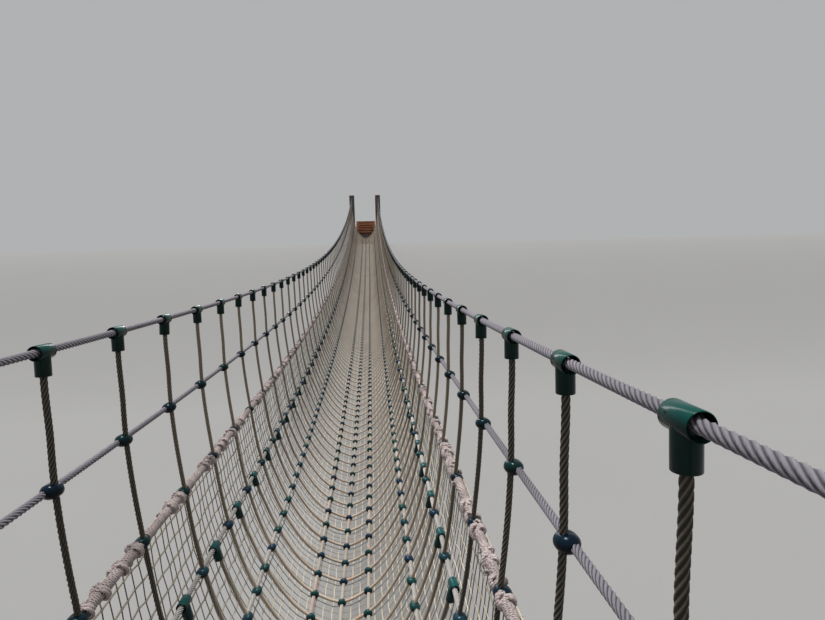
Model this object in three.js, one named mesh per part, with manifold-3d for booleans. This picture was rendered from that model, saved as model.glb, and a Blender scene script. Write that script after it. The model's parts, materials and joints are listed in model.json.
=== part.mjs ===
// Rope suspension footbridge: a deep U of rope hoops on thirteen long ropes, with netting outside,
// hung between two timber gateways that each have a short flight of open steps.
// Millimetres. +X to the right, +Y along the bridge to the far end, +Z up.
// The origin is on the ground at the middle of the near sill beam's underside.

import * as THREE from 'three';
import { mergeVertices } from 'three/addons/utils/BufferGeometryUtils.js';
import Module from 'manifold-3d';

const wasm = await Module();
wasm.setup();

// Driving dimensions of the span
const BAY = 280; // from one main hoop to the next
const BAYS = 120;
const BAYS_PER_CHORD = 5; // the sag is drawn in straight chords this many bays long
const BAYS_PER_HOOP = 2; // every second main hoop is drawn; the finer hoops between are not
const SAG = 2230; // from the handrail at the last hoop down to the handrail at midspan
const HANDRAIL_Z = 1350; // the handrail at the first and last hoop

// Half of the U section: distance from the centre line, and drop below the handrail
const HANDRAIL = { x: 402, drop: 0 };
const MID_RAIL = { x: 403, drop: 241 };
const NET_BORDER = { x: 379, drop: 479 };
const TEE_ROPE = { x: 340, drop: 711 };
const LOWER_SIDE = { x: 258, drop: 943 };
const TREAD_SIDE = { x: 103, drop: 1140 };
const TREAD_CENTRE = { x: 0, drop: 1181 };

// Ropes are 12 mm; a square and a triangle of the same area stand for the round
const ROPE_DIAMETER = 12;
const ROPE_AREA = (Math.PI * ROPE_DIAMETER ** 2) / 4;
const ROPE_HALF = Math.sqrt(ROPE_AREA) / 2;
const HOOP_RADIUS = Math.sqrt((4 * ROPE_AREA) / (3 * Math.sqrt(3)));
const HOOP_INNER = HOOP_RADIUS / 2;
const HOOP_HALF_WIDTH = (HOOP_RADIUS * Math.sqrt(3)) / 2;
const HOOP_CLEARANCE = 0.9;
const HOOP_BITE = 3; // how far a hoop is sunk into the rope that carries it
const TOUCH = 0.3; // gap between faces that touch
const MERGE_DISTANCE = 0.001;

// Netting, in panels that are laced end to end
const NET_THICKNESS = 3;
const NET_PANELS = 12;
const NET_OVERHANG = 70; // past the first and last hoop

// Timber gateways
const TIMBER = 150; // posts and sill are this thick
const POST_X = 400;
const POST_HEIGHT = 1510;
const SILL_HEIGHT = 320;
const SILL_TO_HOOP = 240; // from the sill's middle to the first hoop

// Steel anchor plates, with a socket for each rope
const PLATE = 10;
const SOCKET_LENGTH = 50;
const SOCKET_RADIUS = 15;
const SOCKET_SIDES = 8;
const POST_PLATE_BOTTOM = 395;
const POST_PLATE_TOE_TOP = 475;
const POST_PLATE_TOP = 1440;
const POST_PLATE_TOE_X = 226;
const POST_PLATE_INNER_X = 320;
const POST_PLATE_OUTER_X = 462;
const SILL_PLATE_HALF_WIDTH = 135;
const SILL_PLATE_BOTTOM = 165;
const SILL_PLATE_TOP = 270;

// Steps
const STEPS = 5;
const RISE = 98;
const GOING = 260;
const NOSING = 20;
const TREAD_THICKNESS = 50;
const TREAD_WIDTH = 620;
const STRINGER_X = 250;
const STRINGER_THICKNESS = 45;
const STRINGER_DEPTH = 150;
const BEARER = 120;

// Worked out from the driving dimensions
const HALF_SPAN = (BAY * BAYS) / 2;
const MIDSPAN_Y = SILL_TO_HOOP + HALF_SPAN;
const FAR_SILL_Y = 2 * MIDSPAN_Y;
const ROPE_START_Y = TIMBER / 2 + PLATE + SOCKET_LENGTH + TOUCH;
const ROPE_END_Y = FAR_SILL_Y - ROPE_START_Y;

const materials = {
  handrailRope: matt(0x8f8b9b, 0.8),
  hoopRope: matt(0x8a8079, 0.85),
  floorRope: matt(0xa8998a, 0.85),
  netting: matt(0xb7a68a, 0.9),
  post: matt(0x4a342a, 0.85),
  step: matt(0x8a5638, 0.85),
  steel: new THREE.MeshStandardMaterial({ color: 0x8c8f90, roughness: 0.45, metalness: 0.9 }),
};

function matt(color, roughness) {
  return new THREE.MeshStandardMaterial({ color, roughness, metalness: 0 });
}

// The sag: a parabola through straight chords, the same for every long rope and strip of net

function parabolaZ(y) {
  return HANDRAIL_Z - SAG + SAG * ((y - MIDSPAN_Y) / HALF_SPAN) ** 2;
}

function hoopY(index) {
  return SILL_TO_HOOP + index * BAY;
}

function chordEnds(startY, endY) {
  const ends = [startY];
  for (let index = 0; index <= BAYS; index += BAYS_PER_CHORD) ends.push(hoopY(index));
  return [...ends, endY];
}

const ropeEnds = chordEnds(ROPE_START_Y, ROPE_END_Y);

function chordAt(y) {
  let upper = 1;
  while (upper < ropeEnds.length - 1 && ropeEnds[upper] < y) upper += 1;
  const [y0, y1] = [ropeEnds[upper - 1], ropeEnds[upper]];
  const slope = (parabolaZ(y1) - parabolaZ(y0)) / (y1 - y0);
  return { z: parabolaZ(y0) + slope * (y - y0), slope };
}

// A route that a section is swept along, with the two directions of the section at each point
class Route extends THREE.Curve {
  constructor(points, normals, binormals) {
    super();
    Object.assign(this, { points, normals, binormals });
  }

  getSpacedPoints() {
    return this.points;
  }

  computeFrenetFrames() {
    return { tangents: [], normals: this.normals, binormals: this.binormals };
  }
}

function sweep(outline, route) {
  const shape = new THREE.Shape(outline.map(([a, b]) => new THREE.Vector2(a, b)));
  return outward(
    new THREE.ExtrudeGeometry(shape, {
      steps: route.points.length - 1,
      extrudePath: route,
      bevelEnabled: false,
    }),
  );
}

// Keeps only merged positions, with the faces turned to point out
function outward(geometry) {
  geometry.deleteAttribute('normal');
  geometry.deleteAttribute('uv');
  geometry.clearGroups();
  const merged = mergeVertices(geometry, MERGE_DISTANCE);
  const corner = [new THREE.Vector3(), new THREE.Vector3(), new THREE.Vector3()];
  const { position } = merged.attributes;
  const index = merged.index.array;
  let volume = 0;
  for (let i = 0; i < index.length; i += 3) {
    corner.forEach((vector, k) => vector.fromBufferAttribute(position, index[i + k]));
    volume += corner[0].dot(corner[1].cross(corner[2]));
  }
  if (volume < 0) {
    for (let i = 0; i < index.length; i += 3) [index[i], index[i + 1]] = [index[i + 1], index[i]];
  }
  return merged;
}

function toManifold(geometry) {
  const mesh = new wasm.Mesh({
    numProp: 3,
    vertProperties: new Float32Array(geometry.attributes.position.array),
    triVerts: new Uint32Array(geometry.index.array),
  });
  return new wasm.Manifold(mesh);
}

function join(geometries) {
  const whole = geometries.map(toManifold).reduce((sum, solid) => sum.add(solid));
  const { vertProperties, triVerts } = whole.getMesh();
  const joined = new THREE.BufferGeometry();
  joined.setAttribute('position', new THREE.BufferAttribute(vertProperties, 3));
  joined.setIndex(new THREE.BufferAttribute(triVerts, 1));
  return joined;
}

function box(width, depth, height, x, y, z) {
  return outward(new THREE.BoxGeometry(width, depth, height).translate(x, y, z));
}

const bridge = new THREE.Group();

function add(name, geometry, material) {
  const mesh = new THREE.Mesh(geometry, material);
  mesh.name = name;
  bridge.add(mesh);
}

// Long ropes and netting, swept along the sag with their section upright

function sagRoute(x, drop, ends) {
  const points = ends.map((y) => new THREE.Vector3(x, y, chordAt(y).z - drop));
  const sideways = points.map(() => new THREE.Vector3(1, 0, 0));
  const upwards = points.map(() => new THREE.Vector3(0, 0, 1));
  return new Route(points, sideways, upwards);
}

function longRope(x, drop) {
  const h = ROPE_HALF;
  return sweep([[-h, -h], [h, -h], [h, h], [-h, h]], sagRoute(x, drop, ropeEnds));
}

// Hoops: a triangular bar just outside the ropes, with a corner at each of them

const sectionRight = [TREAD_SIDE, LOWER_SIDE, TEE_ROPE, NET_BORDER, MID_RAIL, HANDRAIL];
const section = [
  ...sectionRight.map(({ x, drop }) => [-x, -drop]).reverse(),
  [TREAD_CENTRE.x, -TREAD_CENTRE.drop],
  ...sectionRight.map(({ x, drop }) => [x, -drop]),
];
const MIDDLE = sectionRight.length;
const CORNER = { handrail: 0, netBorder: 2, lowerSide: 4, treadSide: 5 };

function segmentNormal(k) {
  const [[x0, z0], [x1, z1]] = [section[k], section[k + 1]];
  const length = Math.hypot(x1 - x0, z1 - z0);
  return [(z1 - z0) / length, -(x1 - x0) / length];
}

// The corners of a line that runs outside the section, away(normal) from it
function outsideCorners(away) {
  const lines = section.slice(1).map((_, k) => {
    const [nx, nz] = segmentNormal(k);
    const distance = nx * section[k][0] + nz * section[k][1] + away(nx, nz);
    return { nx, nz, distance };
  });
  return section.map(([x, z], k) => {
    if (k === 0 || k === section.length - 1) {
      const { nx, nz, distance } = lines[Math.min(k, lines.length - 1)];
      const shift = distance - nx * x - nz * z;
      return [x + nx * shift, z + nz * shift];
    }
    const [a, b] = [lines[k - 1], lines[k]];
    const cross = a.nx * b.nz - a.nz * b.nx;
    return [
      (a.distance * b.nz - a.nz * b.distance) / cross,
      (a.nx * b.distance - a.distance * b.nx) / cross,
    ];
  });
}

function ropeReach(nx, nz, slope) {
  return ROPE_HALF * (Math.abs(nx) + Math.abs(nz)) + HOOP_HALF_WIDTH * slope * Math.abs(nz);
}

function hoopCorners(slope) {
  const corners = outsideCorners(
    (nx, nz) => ropeReach(nx, nz, slope) + HOOP_INNER + HOOP_CLEARANCE,
  );
  corners[0] = section[0];
  corners[section.length - 1] = section[section.length - 1];
  corners[MIDDLE] = [0, -TREAD_CENTRE.drop - ROPE_HALF - HOOP_INNER + HOOP_BITE];
  return corners;
}

// The stretch of hoop from one corner to another, with a small gap to the next stretch
function hoopStretch(index, first, last) {
  const y = hoopY(index);
  const { z, slope } = chordAt(y);
  const corners = hoopCorners(Math.abs(slope));
  const tangents = corners.map((_, k) => {
    const [x0, z0] = corners[Math.max(k - 1, 0)];
    const [x1, z1] = corners[k];
    const [x2, z2] = corners[Math.min(k + 1, corners.length - 1)];
    const before = new THREE.Vector3(x1 - x0, 0, z1 - z0).normalize();
    const after = new THREE.Vector3(x2 - x1, 0, z2 - z1).normalize();
    return before.add(after).normalize();
  });
  const points = [];
  const outwards = [];
  for (let k = first; k <= last; k += 1) {
    const point = new THREE.Vector3(corners[k][0], y, z + corners[k][1]);
    if (k === first) point.addScaledVector(tangents[k], TOUCH / 2);
    if (k === last) point.addScaledVector(tangents[k], -TOUCH / 2);
    points.push(point);
    const outwardAt = new THREE.Vector3(tangents[k].z, 0, -tangents[k].x);
    const carried = last - first === 1 && (k === CORNER.lowerSide || k === LAST - CORNER.lowerSide);
    if (carried) point.addScaledVector(outwardAt, -HOOP_BITE - HOOP_CLEARANCE);
    outwards.push(outwardAt);
  }
  const along = points.map(() => new THREE.Vector3(0, 1, 0));
  const outline = [[HOOP_RADIUS, 0], [-HOOP_INNER, HOOP_HALF_WIDTH], [-HOOP_INNER, -HOOP_HALF_WIDTH]];
  return sweep(outline, new Route(points, outwards, along));
}

function ropeWithHoops(x, drop, first, last) {
  const stretches = [longRope(x, drop)];
  for (let index = 0; index <= BAYS; index += BAYS_PER_HOOP) {
    stretches.push(hoopStretch(index, first, last));
  }
  return join(stretches);
}

const LAST = section.length - 1;

function addRopes() {
  const { handrail, lowerSide, treadSide } = CORNER;
  const { handrailRope, hoopRope, floorRope } = materials;
  add('handrail_left', ropeWithHoops(-HANDRAIL.x, 0, handrail, lowerSide), handrailRope);
  add('handrail_right', ropeWithHoops(HANDRAIL.x, 0, LAST - lowerSide, LAST), handrailRope);
  [['left', -1], ['right', 1]].forEach(([side, sign]) => {
    add(`mid_rail_${side}`, longRope(sign * MID_RAIL.x, MID_RAIL.drop), hoopRope);
    add(`net_border_rope_${side}`, longRope(sign * NET_BORDER.x, NET_BORDER.drop), hoopRope);
    add(`tee_rope_${side}`, longRope(sign * TEE_ROPE.x, TEE_ROPE.drop), hoopRope);
    add(`tread_rope_${side}`, longRope(sign * TREAD_SIDE.x, TREAD_SIDE.drop), floorRope);
  });
  const { x: lowX, drop: lowDrop } = LOWER_SIDE;
  add('lower_side_rope_left', ropeWithHoops(-lowX, lowDrop, lowerSide, treadSide), hoopRope);
  const lowRight = ropeWithHoops(lowX, lowDrop, LAST - treadSide, LAST - lowerSide);
  add('lower_side_rope_right', lowRight, hoopRope);
  add('tread_rope_centre', ropeWithHoops(0, TREAD_CENTRE.drop, treadSide, LAST - treadSide), floorRope);
}

// Netting: thin U-shaped panels just outside the hoops, hung from the two border ropes

function netOutline() {
  const steepest = Math.abs(chordAt(ROPE_START_Y).slope);
  const reach = (nx, nz) => ropeReach(nx, nz, steepest) + HOOP_INNER + HOOP_CLEARANCE
    + HOOP_RADIUS + TOUCH;
  const [first, last] = [CORNER.netBorder, LAST - CORNER.netBorder];
  const inner = outsideCorners(reach).slice(first, last + 1);
  const outer = outsideCorners((nx, nz) => reach(nx, nz) + NET_THICKNESS).slice(first, last + 1);
  return [...inner, ...outer.reverse()];
}

function addNetting() {
  const outline = netOutline();
  const baysPerPanel = BAYS / NET_PANELS;
  for (let panel = 0; panel < NET_PANELS; panel += 1) {
    const ends = [];
    for (let bay = 0; bay <= baysPerPanel; bay += BAYS_PER_CHORD) {
      ends.push(hoopY(panel * baysPerPanel + bay));
    }
    if (panel === 0) ends.unshift(hoopY(0) - NET_OVERHANG);
    else ends[0] += TOUCH / 2;
    if (panel === NET_PANELS - 1) ends.push(hoopY(BAYS) + NET_OVERHANG);
    else ends[ends.length - 1] -= TOUCH / 2;
    add(`net_panel_${panel + 1}`, sweep(outline, sagRoute(0, 0, ends)), materials.netting);
  }
}

// Gateways: two posts, a sill between them, anchor plates and steps. outwards is -1 or 1 along Y

function socket(x, y, z) {
  const cylinder = new THREE.CylinderGeometry(SOCKET_RADIUS, SOCKET_RADIUS, SOCKET_LENGTH, SOCKET_SIDES);
  return outward(cylinder.translate(x, y, z));
}

function plateWithSockets(outline, sockets, faceY, outwards) {
  const shape = new THREE.Shape(outline.map(([x, z]) => new THREE.Vector2(x, z)));
  const plate = new THREE.ExtrudeGeometry(shape, { depth: PLATE, bevelEnabled: false });
  plate.rotateX(Math.PI / 2).translate(0, PLATE / 2, 0);
  const plateY = faceY - outwards * (TOUCH / 2 + PLATE / 2);
  const socketY = faceY - outwards * (PLATE + SOCKET_LENGTH / 2);
  const heights = chordAt(ROPE_START_Y).z;
  const solids = sockets.map(([x, drop]) => socket(x, socketY, heights - drop));
  return join([outward(plate.translate(0, plateY, 0)), ...solids]);
}

function addGateway(end, sillY, outwards) {
  const faceY = sillY - (outwards * TIMBER) / 2;
  const sillWidth = 2 * POST_X - TIMBER - 2 * TOUCH;
  add(`${end}_sill`, box(sillWidth, TIMBER, SILL_HEIGHT, 0, sillY, SILL_HEIGHT / 2), materials.post);
  [['left', -1], ['right', 1]].forEach(([side, sign]) => {
    const post = box(TIMBER, TIMBER, POST_HEIGHT, sign * POST_X, sillY, POST_HEIGHT / 2);
    add(`${end}_post_${side}`, post, materials.post);
    const outline = [
      [POST_PLATE_TOE_X, POST_PLATE_BOTTOM], [POST_PLATE_OUTER_X, POST_PLATE_BOTTOM],
      [POST_PLATE_OUTER_X, POST_PLATE_TOP], [POST_PLATE_INNER_X, POST_PLATE_TOP],
      [POST_PLATE_INNER_X, POST_PLATE_TOE_TOP], [POST_PLATE_TOE_X, POST_PLATE_TOE_TOP],
    ].map(([x, z]) => [sign * x, z]);
    const held = [HANDRAIL, MID_RAIL, NET_BORDER, TEE_ROPE, LOWER_SIDE];
    const sockets = held.map(({ x, drop }) => [sign * x, drop]);
    const plate = plateWithSockets(outline, sockets, faceY, outwards);
    add(`${end}_anchor_plate_${side}`, plate, materials.steel);
  });
  const w = SILL_PLATE_HALF_WIDTH;
  const sillOutline = [
    [-w, SILL_PLATE_BOTTOM], [w, SILL_PLATE_BOTTOM], [w, SILL_PLATE_TOP], [-w, SILL_PLATE_TOP],
  ];
  const treadSockets = [-1, 1].map((sign) => [sign * TREAD_SIDE.x, TREAD_SIDE.drop]);
  treadSockets.push([TREAD_CENTRE.x, TREAD_CENTRE.drop]);
  const sillPlate = plateWithSockets(sillOutline, treadSockets, faceY, outwards);
  add(`${end}_anchor_plate_sill`, sillPlate, materials.steel);
  addSteps(end, sillY + (outwards * TIMBER) / 2, outwards);
}

function addSteps(end, backY, outwards) {
  for (let step = 1; step <= STEPS; step += 1) {
    const depth = GOING + NOSING - TOUCH;
    const y = backY + outwards * (step * GOING - TOUCH - depth / 2);
    const z = SILL_HEIGHT + step * RISE - TREAD_THICKNESS / 2;
    add(`${end}_tread_${step}`, box(TREAD_WIDTH, depth, TREAD_THICKNESS, 0, y, z), materials.step);
  }
  const seat = (step) => SILL_HEIGHT + step * RISE - TREAD_THICKNESS - TOUCH;
  const underside = (run) => seat(1) - STRINGER_DEPTH + (RISE * (run - GOING)) / GOING;
  const outline = [[TOUCH, underside(TOUCH)], [TOUCH, seat(1)]];
  for (let step = 1; step <= STEPS; step += 1) {
    outline.push([step * GOING, seat(step)]);
    if (step < STEPS) outline.push([step * GOING, seat(step + 1)]);
  }
  outline.push([STEPS * GOING, underside(STEPS * GOING)]);
  const points = outline.map(([run, z]) => new THREE.Vector2(outwards * run, z));
  [['left', -1], ['right', 1]].forEach(([side, sign]) => {
    const board = new THREE.ExtrudeGeometry(new THREE.Shape(points), {
      depth: STRINGER_THICKNESS,
      bevelEnabled: false,
    });
    board.rotateY(Math.PI / 2).rotateX(Math.PI / 2);
    const x = sign * STRINGER_X - STRINGER_THICKNESS / 2;
    add(`${end}_stringer_${side}`, outward(board.translate(x, backY, 0)), materials.step);
  });
  const bearerRun = STEPS * GOING - BEARER / 2;
  const bearerTop = underside(bearerRun - BEARER / 2) - TOUCH;
  const bearerY = backY + outwards * bearerRun;
  const bearer = box(TREAD_WIDTH, BEARER, BEARER, 0, bearerY, bearerTop - BEARER / 2);
  add(`${end}_bearer`, bearer, materials.step);
}

addRopes();
addNetting();
addGateway('near', 0, -1);
addGateway('far', FAR_SILL_Y, 1);

export default bridge;
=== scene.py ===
"""Rope suspension footbridge: the looks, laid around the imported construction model.

Metres, +Y along the bridge from the near gateway to the far one, +Z up.
"""

import json
import math

import bmesh
import bpy
import numpy as np
from bpy.props import FloatProperty, FloatVectorProperty, IntProperty, PointerProperty
from mathutils import Matrix, Vector

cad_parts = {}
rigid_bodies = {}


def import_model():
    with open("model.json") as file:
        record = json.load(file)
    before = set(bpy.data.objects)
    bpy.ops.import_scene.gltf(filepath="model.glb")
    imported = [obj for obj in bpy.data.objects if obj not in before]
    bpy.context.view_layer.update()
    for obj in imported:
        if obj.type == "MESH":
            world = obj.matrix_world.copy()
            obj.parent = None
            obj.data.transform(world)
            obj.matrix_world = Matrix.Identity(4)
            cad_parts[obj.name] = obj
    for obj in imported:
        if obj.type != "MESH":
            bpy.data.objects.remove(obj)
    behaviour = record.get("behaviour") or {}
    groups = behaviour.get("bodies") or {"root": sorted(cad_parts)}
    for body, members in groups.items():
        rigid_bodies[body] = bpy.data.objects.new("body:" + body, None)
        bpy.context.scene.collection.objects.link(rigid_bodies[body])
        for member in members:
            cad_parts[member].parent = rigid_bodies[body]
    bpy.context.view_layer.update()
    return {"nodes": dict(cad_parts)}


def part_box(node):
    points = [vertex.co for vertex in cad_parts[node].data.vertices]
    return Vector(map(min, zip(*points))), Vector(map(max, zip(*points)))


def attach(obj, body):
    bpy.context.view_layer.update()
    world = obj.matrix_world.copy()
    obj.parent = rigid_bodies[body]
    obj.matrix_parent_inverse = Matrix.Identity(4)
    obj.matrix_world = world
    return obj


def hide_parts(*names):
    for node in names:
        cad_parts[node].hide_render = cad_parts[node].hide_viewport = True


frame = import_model()

bl_info = {
    "name": "Rope suspension footbridge",
    "version": (1, 0, 0),
    "blender": (4, 5, 0),
    "location": "3D View > Sidebar > Footbridge",
    "description": "Laid ropes, hoops, connectors, lashings, netting and timber of a rope footbridge",
    "category": "Object",
}

SIDES = (("left", -1.0), ("right", 1.0))
ENDS = ("near", "far")
STRANDS = 6
STRAND_SHARE = 1 / 3  # a strand's radius beside the rope's
ACROSS, ALONG = (1.0, 0.0, 0.0), (0.0, 1.0, 0.0)  # the bridge's own directions

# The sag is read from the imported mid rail, which is square and bare
RAIL_LOW, RAIL_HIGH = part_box("mid_rail_left")
HALF_SQUARE = (RAIL_HIGH.x - RAIL_LOW.x) / 2
MIDSPAN_Y = (RAIL_LOW.y + RAIL_HIGH.y) / 2
ROPE_START_Y, ROPE_END_Y = RAIL_LOW.y, RAIL_HIGH.y
HANDRAIL_TOP_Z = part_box("handrail_left")[1].z


def drop_of(node):
    """How far a long rope hangs below the handrail."""
    return HANDRAIL_TOP_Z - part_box(node)[1].z


MIDSPAN_Z = RAIL_LOW.z + HALF_SQUARE + drop_of("mid_rail_left")
END_Z = HANDRAIL_TOP_Z - HALF_SQUARE
SAG_RATE = (END_Z - MIDSPAN_Z) / (MIDSPAN_Y - ROPE_START_Y) ** 2


def length(name, description, default):
    """A property that holds a length."""
    return FloatProperty(name=name, description=description, default=default, unit="LENGTH", precision=4)


def angle(name, description, default):
    """A property that holds an angle."""
    return FloatProperty(name=name, description=description, default=default, subtype="ANGLE")


def colour(name, description, default):
    """A property that holds a colour."""
    return FloatVectorProperty(name=name, description=description, default=default, size=3, subtype="COLOR",
                               min=0.0, max=1.0)


class RopeSettings(bpy.types.PropertyGroup):
    """Sizes and colours of the laid ropes."""

    bay: length("Bay", "From one main hoop to the next", 0.28)
    bays: IntProperty(name="Bays", description="Number of bays between the gateways", default=120)
    handrail_out: length("Handrail out", "Handrail from the centre line", 0.402)
    mid_rail_out: length("Mid rail out", "Mid rail from the centre line", 0.403)
    border_out: length("Net border out", "Net border rope from the centre line", 0.379)
    tee_rope_out: length("Tee rope out", "Rope of the short hoops' T fittings from the centre line", 0.340)
    lower_side_out: length("Lower side out", "Lower side rope from the centre line", 0.258)
    tread_out: length("Tread rope out", "Outer tread rope from the centre line", 0.103)
    radius: length("Hoop radius", "Middle of a hoop's rope to the crown of a strand", 0.0061)
    long_radius: length("Rail radius", "Middle of a rail to the crown of a strand", 0.0070)
    side_radius: length("Side rope radius", "From a side or tread rope's middle to a strand's crown", 0.0078)
    lay: length("Lay", "Along the rope for one whole turn of a strand", 0.065)
    offset: length("Crossing offset", "Each rope from the middle of a ball connector", 0.0052)
    rail_colour: colour("Rail rope", "Crown of the handrail's strands", (0.245, 0.228, 0.268))
    side_colour: colour("Side rope", "Crown of the long side ropes' strands", (0.67, 0.63, 0.60))
    hoop_colour: colour("Hoop rope", "Trodden crown of the hoops' strands", (0.58, 0.48, 0.39))
    # Darker than the trodden crown, partly for weathering and partly as painted shade on the upright legs
    leg_colour: colour("Hoop leg", "Weathered crown of the strands on upright legs", (0.42, 0.345, 0.255))
    # Painted shade: legs about midspan take this darker colour as if in shade; the next two lengths set how
    # far it holds and where the legs are palest again
    shaded_leg_colour: colour("Damp leg", "The same about midspan, in the shade", (0.115, 0.10, 0.08))
    shade_reach: length("Shaded", "The hoops' legs are this dark up to here from midspan", 0.3)
    brighter: length("Brighter", "And at their palest from here on", 1.3)
    # Partly grime and partly painted shade on the flanks of the strands
    hoop_groove: colour("Hoop groove", "Dark flanks of the hoops' strands", (0.021, 0.017, 0.012))
    floor_colour: colour("Floor rope", "Crown of the tread ropes' strands", (0.52, 0.465, 0.39))
    # Partly grime and partly painted shade between the strands
    groove_colour: colour("Groove", "Dirt between the strands", (0.045, 0.036, 0.034))
    pink_colour: colour("Pink wear", "Bare core of worn tread ropes", (0.54, 0.34, 0.30))
    trodden: length("Trodden", "Feet keep the hoops pale this far from the centre line", 0.25)
    untrodden: length("Untrodden", "From here out the hoops are dark", 0.345)
    rust_colour: colour("Stain", "Orange stain beside some connectors", (0.58, 0.27, 0.14))


class FittingSettings(bpy.types.PropertyGroup):
    """Sizes and colours of the moulded connectors."""

    ball_width: length("Ball width", "Along the long rope", 0.041)
    ball_height: length("Ball height", "Along the hoop", 0.0290)
    ball_depth: length("Ball depth", "Across both ropes", 0.0365)
    saddle: length("Saddle", "How deep the hoop's saddle is", 0.0018)
    floor_ball: FloatProperty(name="Floor ball", description="Size of the floor's balls beside the rails'",
                              default=0.88, min=0.7, max=1.0)
    sleeve_radius: length("Sleeve radius", "T fitting's sleeve round the long rope", 0.0132)
    sleeve_length: length("Sleeve length", "T fitting's sleeve, along the rope", 0.043)
    bore_radius: length("Bore radius", "Mouth of the sleeve", 0.0121)
    stem_radius: length("Stem radius", "T fitting's stem", 0.0128)
    stem_reach: length("Stem reach", "From the long rope's middle to the stem's end", 0.0413)
    screw_radius: length("Screw radius", "Set screw in the sleeve's inner side", 0.0015)
    screw_place: length("Screw place", "From the sleeve's middle to its set screw", 0.010)
    green: colour("Green", "Handrail T fittings' plastic", (0.0008, 0.048, 0.037))
    sea_green: colour("Sea green", "Tee rope T fittings' plastic", (0.006, 0.070, 0.073))
    teal: colour("Teal", "Ball connectors' greenest plastic", (0.0015, 0.026, 0.026))
    navy: colour("Navy", "Ball connectors' bluest plastic", (0.001, 0.011, 0.027))
    # Paler than the rails' plastic, partly for scuffs and dust and partly as painted light on these lower
    # balls
    lit_worn_teal: colour("Lit worn teal", "The same, low on the sides and the floor", (0.010, 0.060, 0.056))
    lit_worn_navy: colour("Lit worn navy", "The same, low on the sides and the floor", (0.012, 0.034, 0.070))


class NetSettings(bpy.types.PropertyGroup):
    """Sizes and colours of the netting and its lashings."""

    mesh: length("Mesh", "From one cord to the next", 0.035)
    wall_mesh: length("Wall mesh", "From one cord to the next below it on the two walls", 0.044)
    cord_radius: length("Cord radius", "Cords along the bridge", 0.0023)
    cross_radius: length("Cross cord radius", "Cords across the bridge", 0.0013)
    outside: length("Outside", "Net outside the section line", 0.0165)
    slack: length("Slack", "How far the net hangs between two hoops", 0.005)
    zigzag: length("Zigzag", "How far each knot is pulled off its cord's line", 0.0012)
    lashing_radius: length("Lashing radius", "Outside of the border rope's windings", 0.0116)
    lashing_gap: length("Lashing gap", "From a ball's middle to the first winding", 0.020)
    lashing_cord: length("Lashing cord radius", "Half the thickness of one winding", 0.0027)
    knot_cord: length("Knot cord radius", "Half the thickness of the cord of loops and hitches", 0.0040)
    colour: colour("Net cord", "Dry net cord along the bridge", (0.74, 0.65, 0.52))
    cross_colour: colour("Cross cord", "Cord across the bridge", (0.60, 0.52, 0.41))
    lashing_colour: colour("Lashing", "Twisted cord of the windings", (0.57, 0.485, 0.475))


class TimberSettings(bpy.types.PropertyGroup):
    """Sizes and colours of the gateways and steps."""

    bevel: length("Bevel", "Worn edge of posts and sills", 0.007)
    board_gap: length("Board gap", "Between the two boards of a tread", 0.006)
    board_bevel: length("Board bevel", "Worn edge of the tread boards", 0.005)
    post_colour: colour("Post", "Weathered dark timber", (0.075, 0.040, 0.028))
    post_worn: colour("Worn post", "Pale grain of the posts", (0.19, 0.115, 0.085))
    step_colour: colour("Step", "Orange-brown timber of the steps", (0.27, 0.105, 0.045))
    step_worn: colour("Worn step", "Trodden grain of the steps", (0.50, 0.29, 0.18))
    riser: length("Riser", "Thickness of the board behind each nosing", 0.02)
    # Painted shade: the risers are nearly black, standing in for the shade behind the nosings
    shaded_riser_colour: colour("Riser", "Damp dark boards behind the nosings", (0.045, 0.020, 0.014))
    steel_colour: colour("Steel", "Dark weathered steel", (0.115, 0.105, 0.10))


class StudioSettings(bpy.types.PropertyGroup):
    """The photograph's camera and a plain studio around the bridge."""

    camera_x: length("Camera right", "Camera from the centre line", 0.1574)
    camera_back: length("Camera back", "Camera behind midspan", 0.6992)
    camera_up: length("Camera up", "Camera above the handrail there", 0.1228)
    yaw: angle("Yaw", "Turn to the right", 0.07011)
    pitch: angle("Pitch", "Tilt up", -0.07646)
    roll: angle("Roll", "Turn about the line of sight", -0.02641)
    focal: FloatProperty(name="Focal length", description="On a 36 mm sensor", default=24.44, unit="CAMERA")
    floor_z: length("Floor", "Height of the studio floor", -3.2)
    floor_run: length("Floor run", "Over which the floor rises to a gateway", 8.0)
    floor_colour: colour("Floor colour", "Plain pale floor", (0.285, 0.285, 0.285))


class FootbridgeSettings(bpy.types.PropertyGroup):
    """All of the bridge's sizes and colours."""

    rope: PointerProperty(type=RopeSettings)
    fitting: PointerProperty(type=FittingSettings)
    net: PointerProperty(type=NetSettings)
    timber: PointerProperty(type=TimberSettings)
    studio: PointerProperty(type=StudioSettings)


def settings():
    """The bridge's settings on the current scene."""
    return bpy.context.scene.footbridge


# Lines and grids

TURNED_OVER = [0, 3, 2, 1]  # a quad's corners the other way round


def arc_lengths(line):
    """How far along a line each of its points lies."""
    return np.append(0, np.cumsum(np.linalg.norm(np.diff(line, axis=0), axis=1)))


def directions(line):
    """A line's unit direction at each of its points."""
    steps = np.gradient(line, axis=0)
    return steps / np.linalg.norm(steps, axis=1)[:, None]


def smooth_step(t):
    """From 0 to 1 with level ends."""
    return t * t * (3 - 2 * t)


def ring_angles(sides):
    """Evenly spaced angles of a round ring."""
    return np.arange(sides) * 2 * math.pi / sides


def grid_quads(rows, columns, round_rows=False, round_columns=True):
    """Faces between neighbouring points of a grid; a round way closes on itself."""
    i, j = np.mgrid[:rows - 1 + round_rows, :columns - 1 + round_columns].reshape(2, -1)
    row, below, after = i * columns, (i + 1) % rows * columns, (j + 1) % columns
    return np.stack([row + j, row + after, below + after, below + j], axis=1)


# Where things lie

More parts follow.
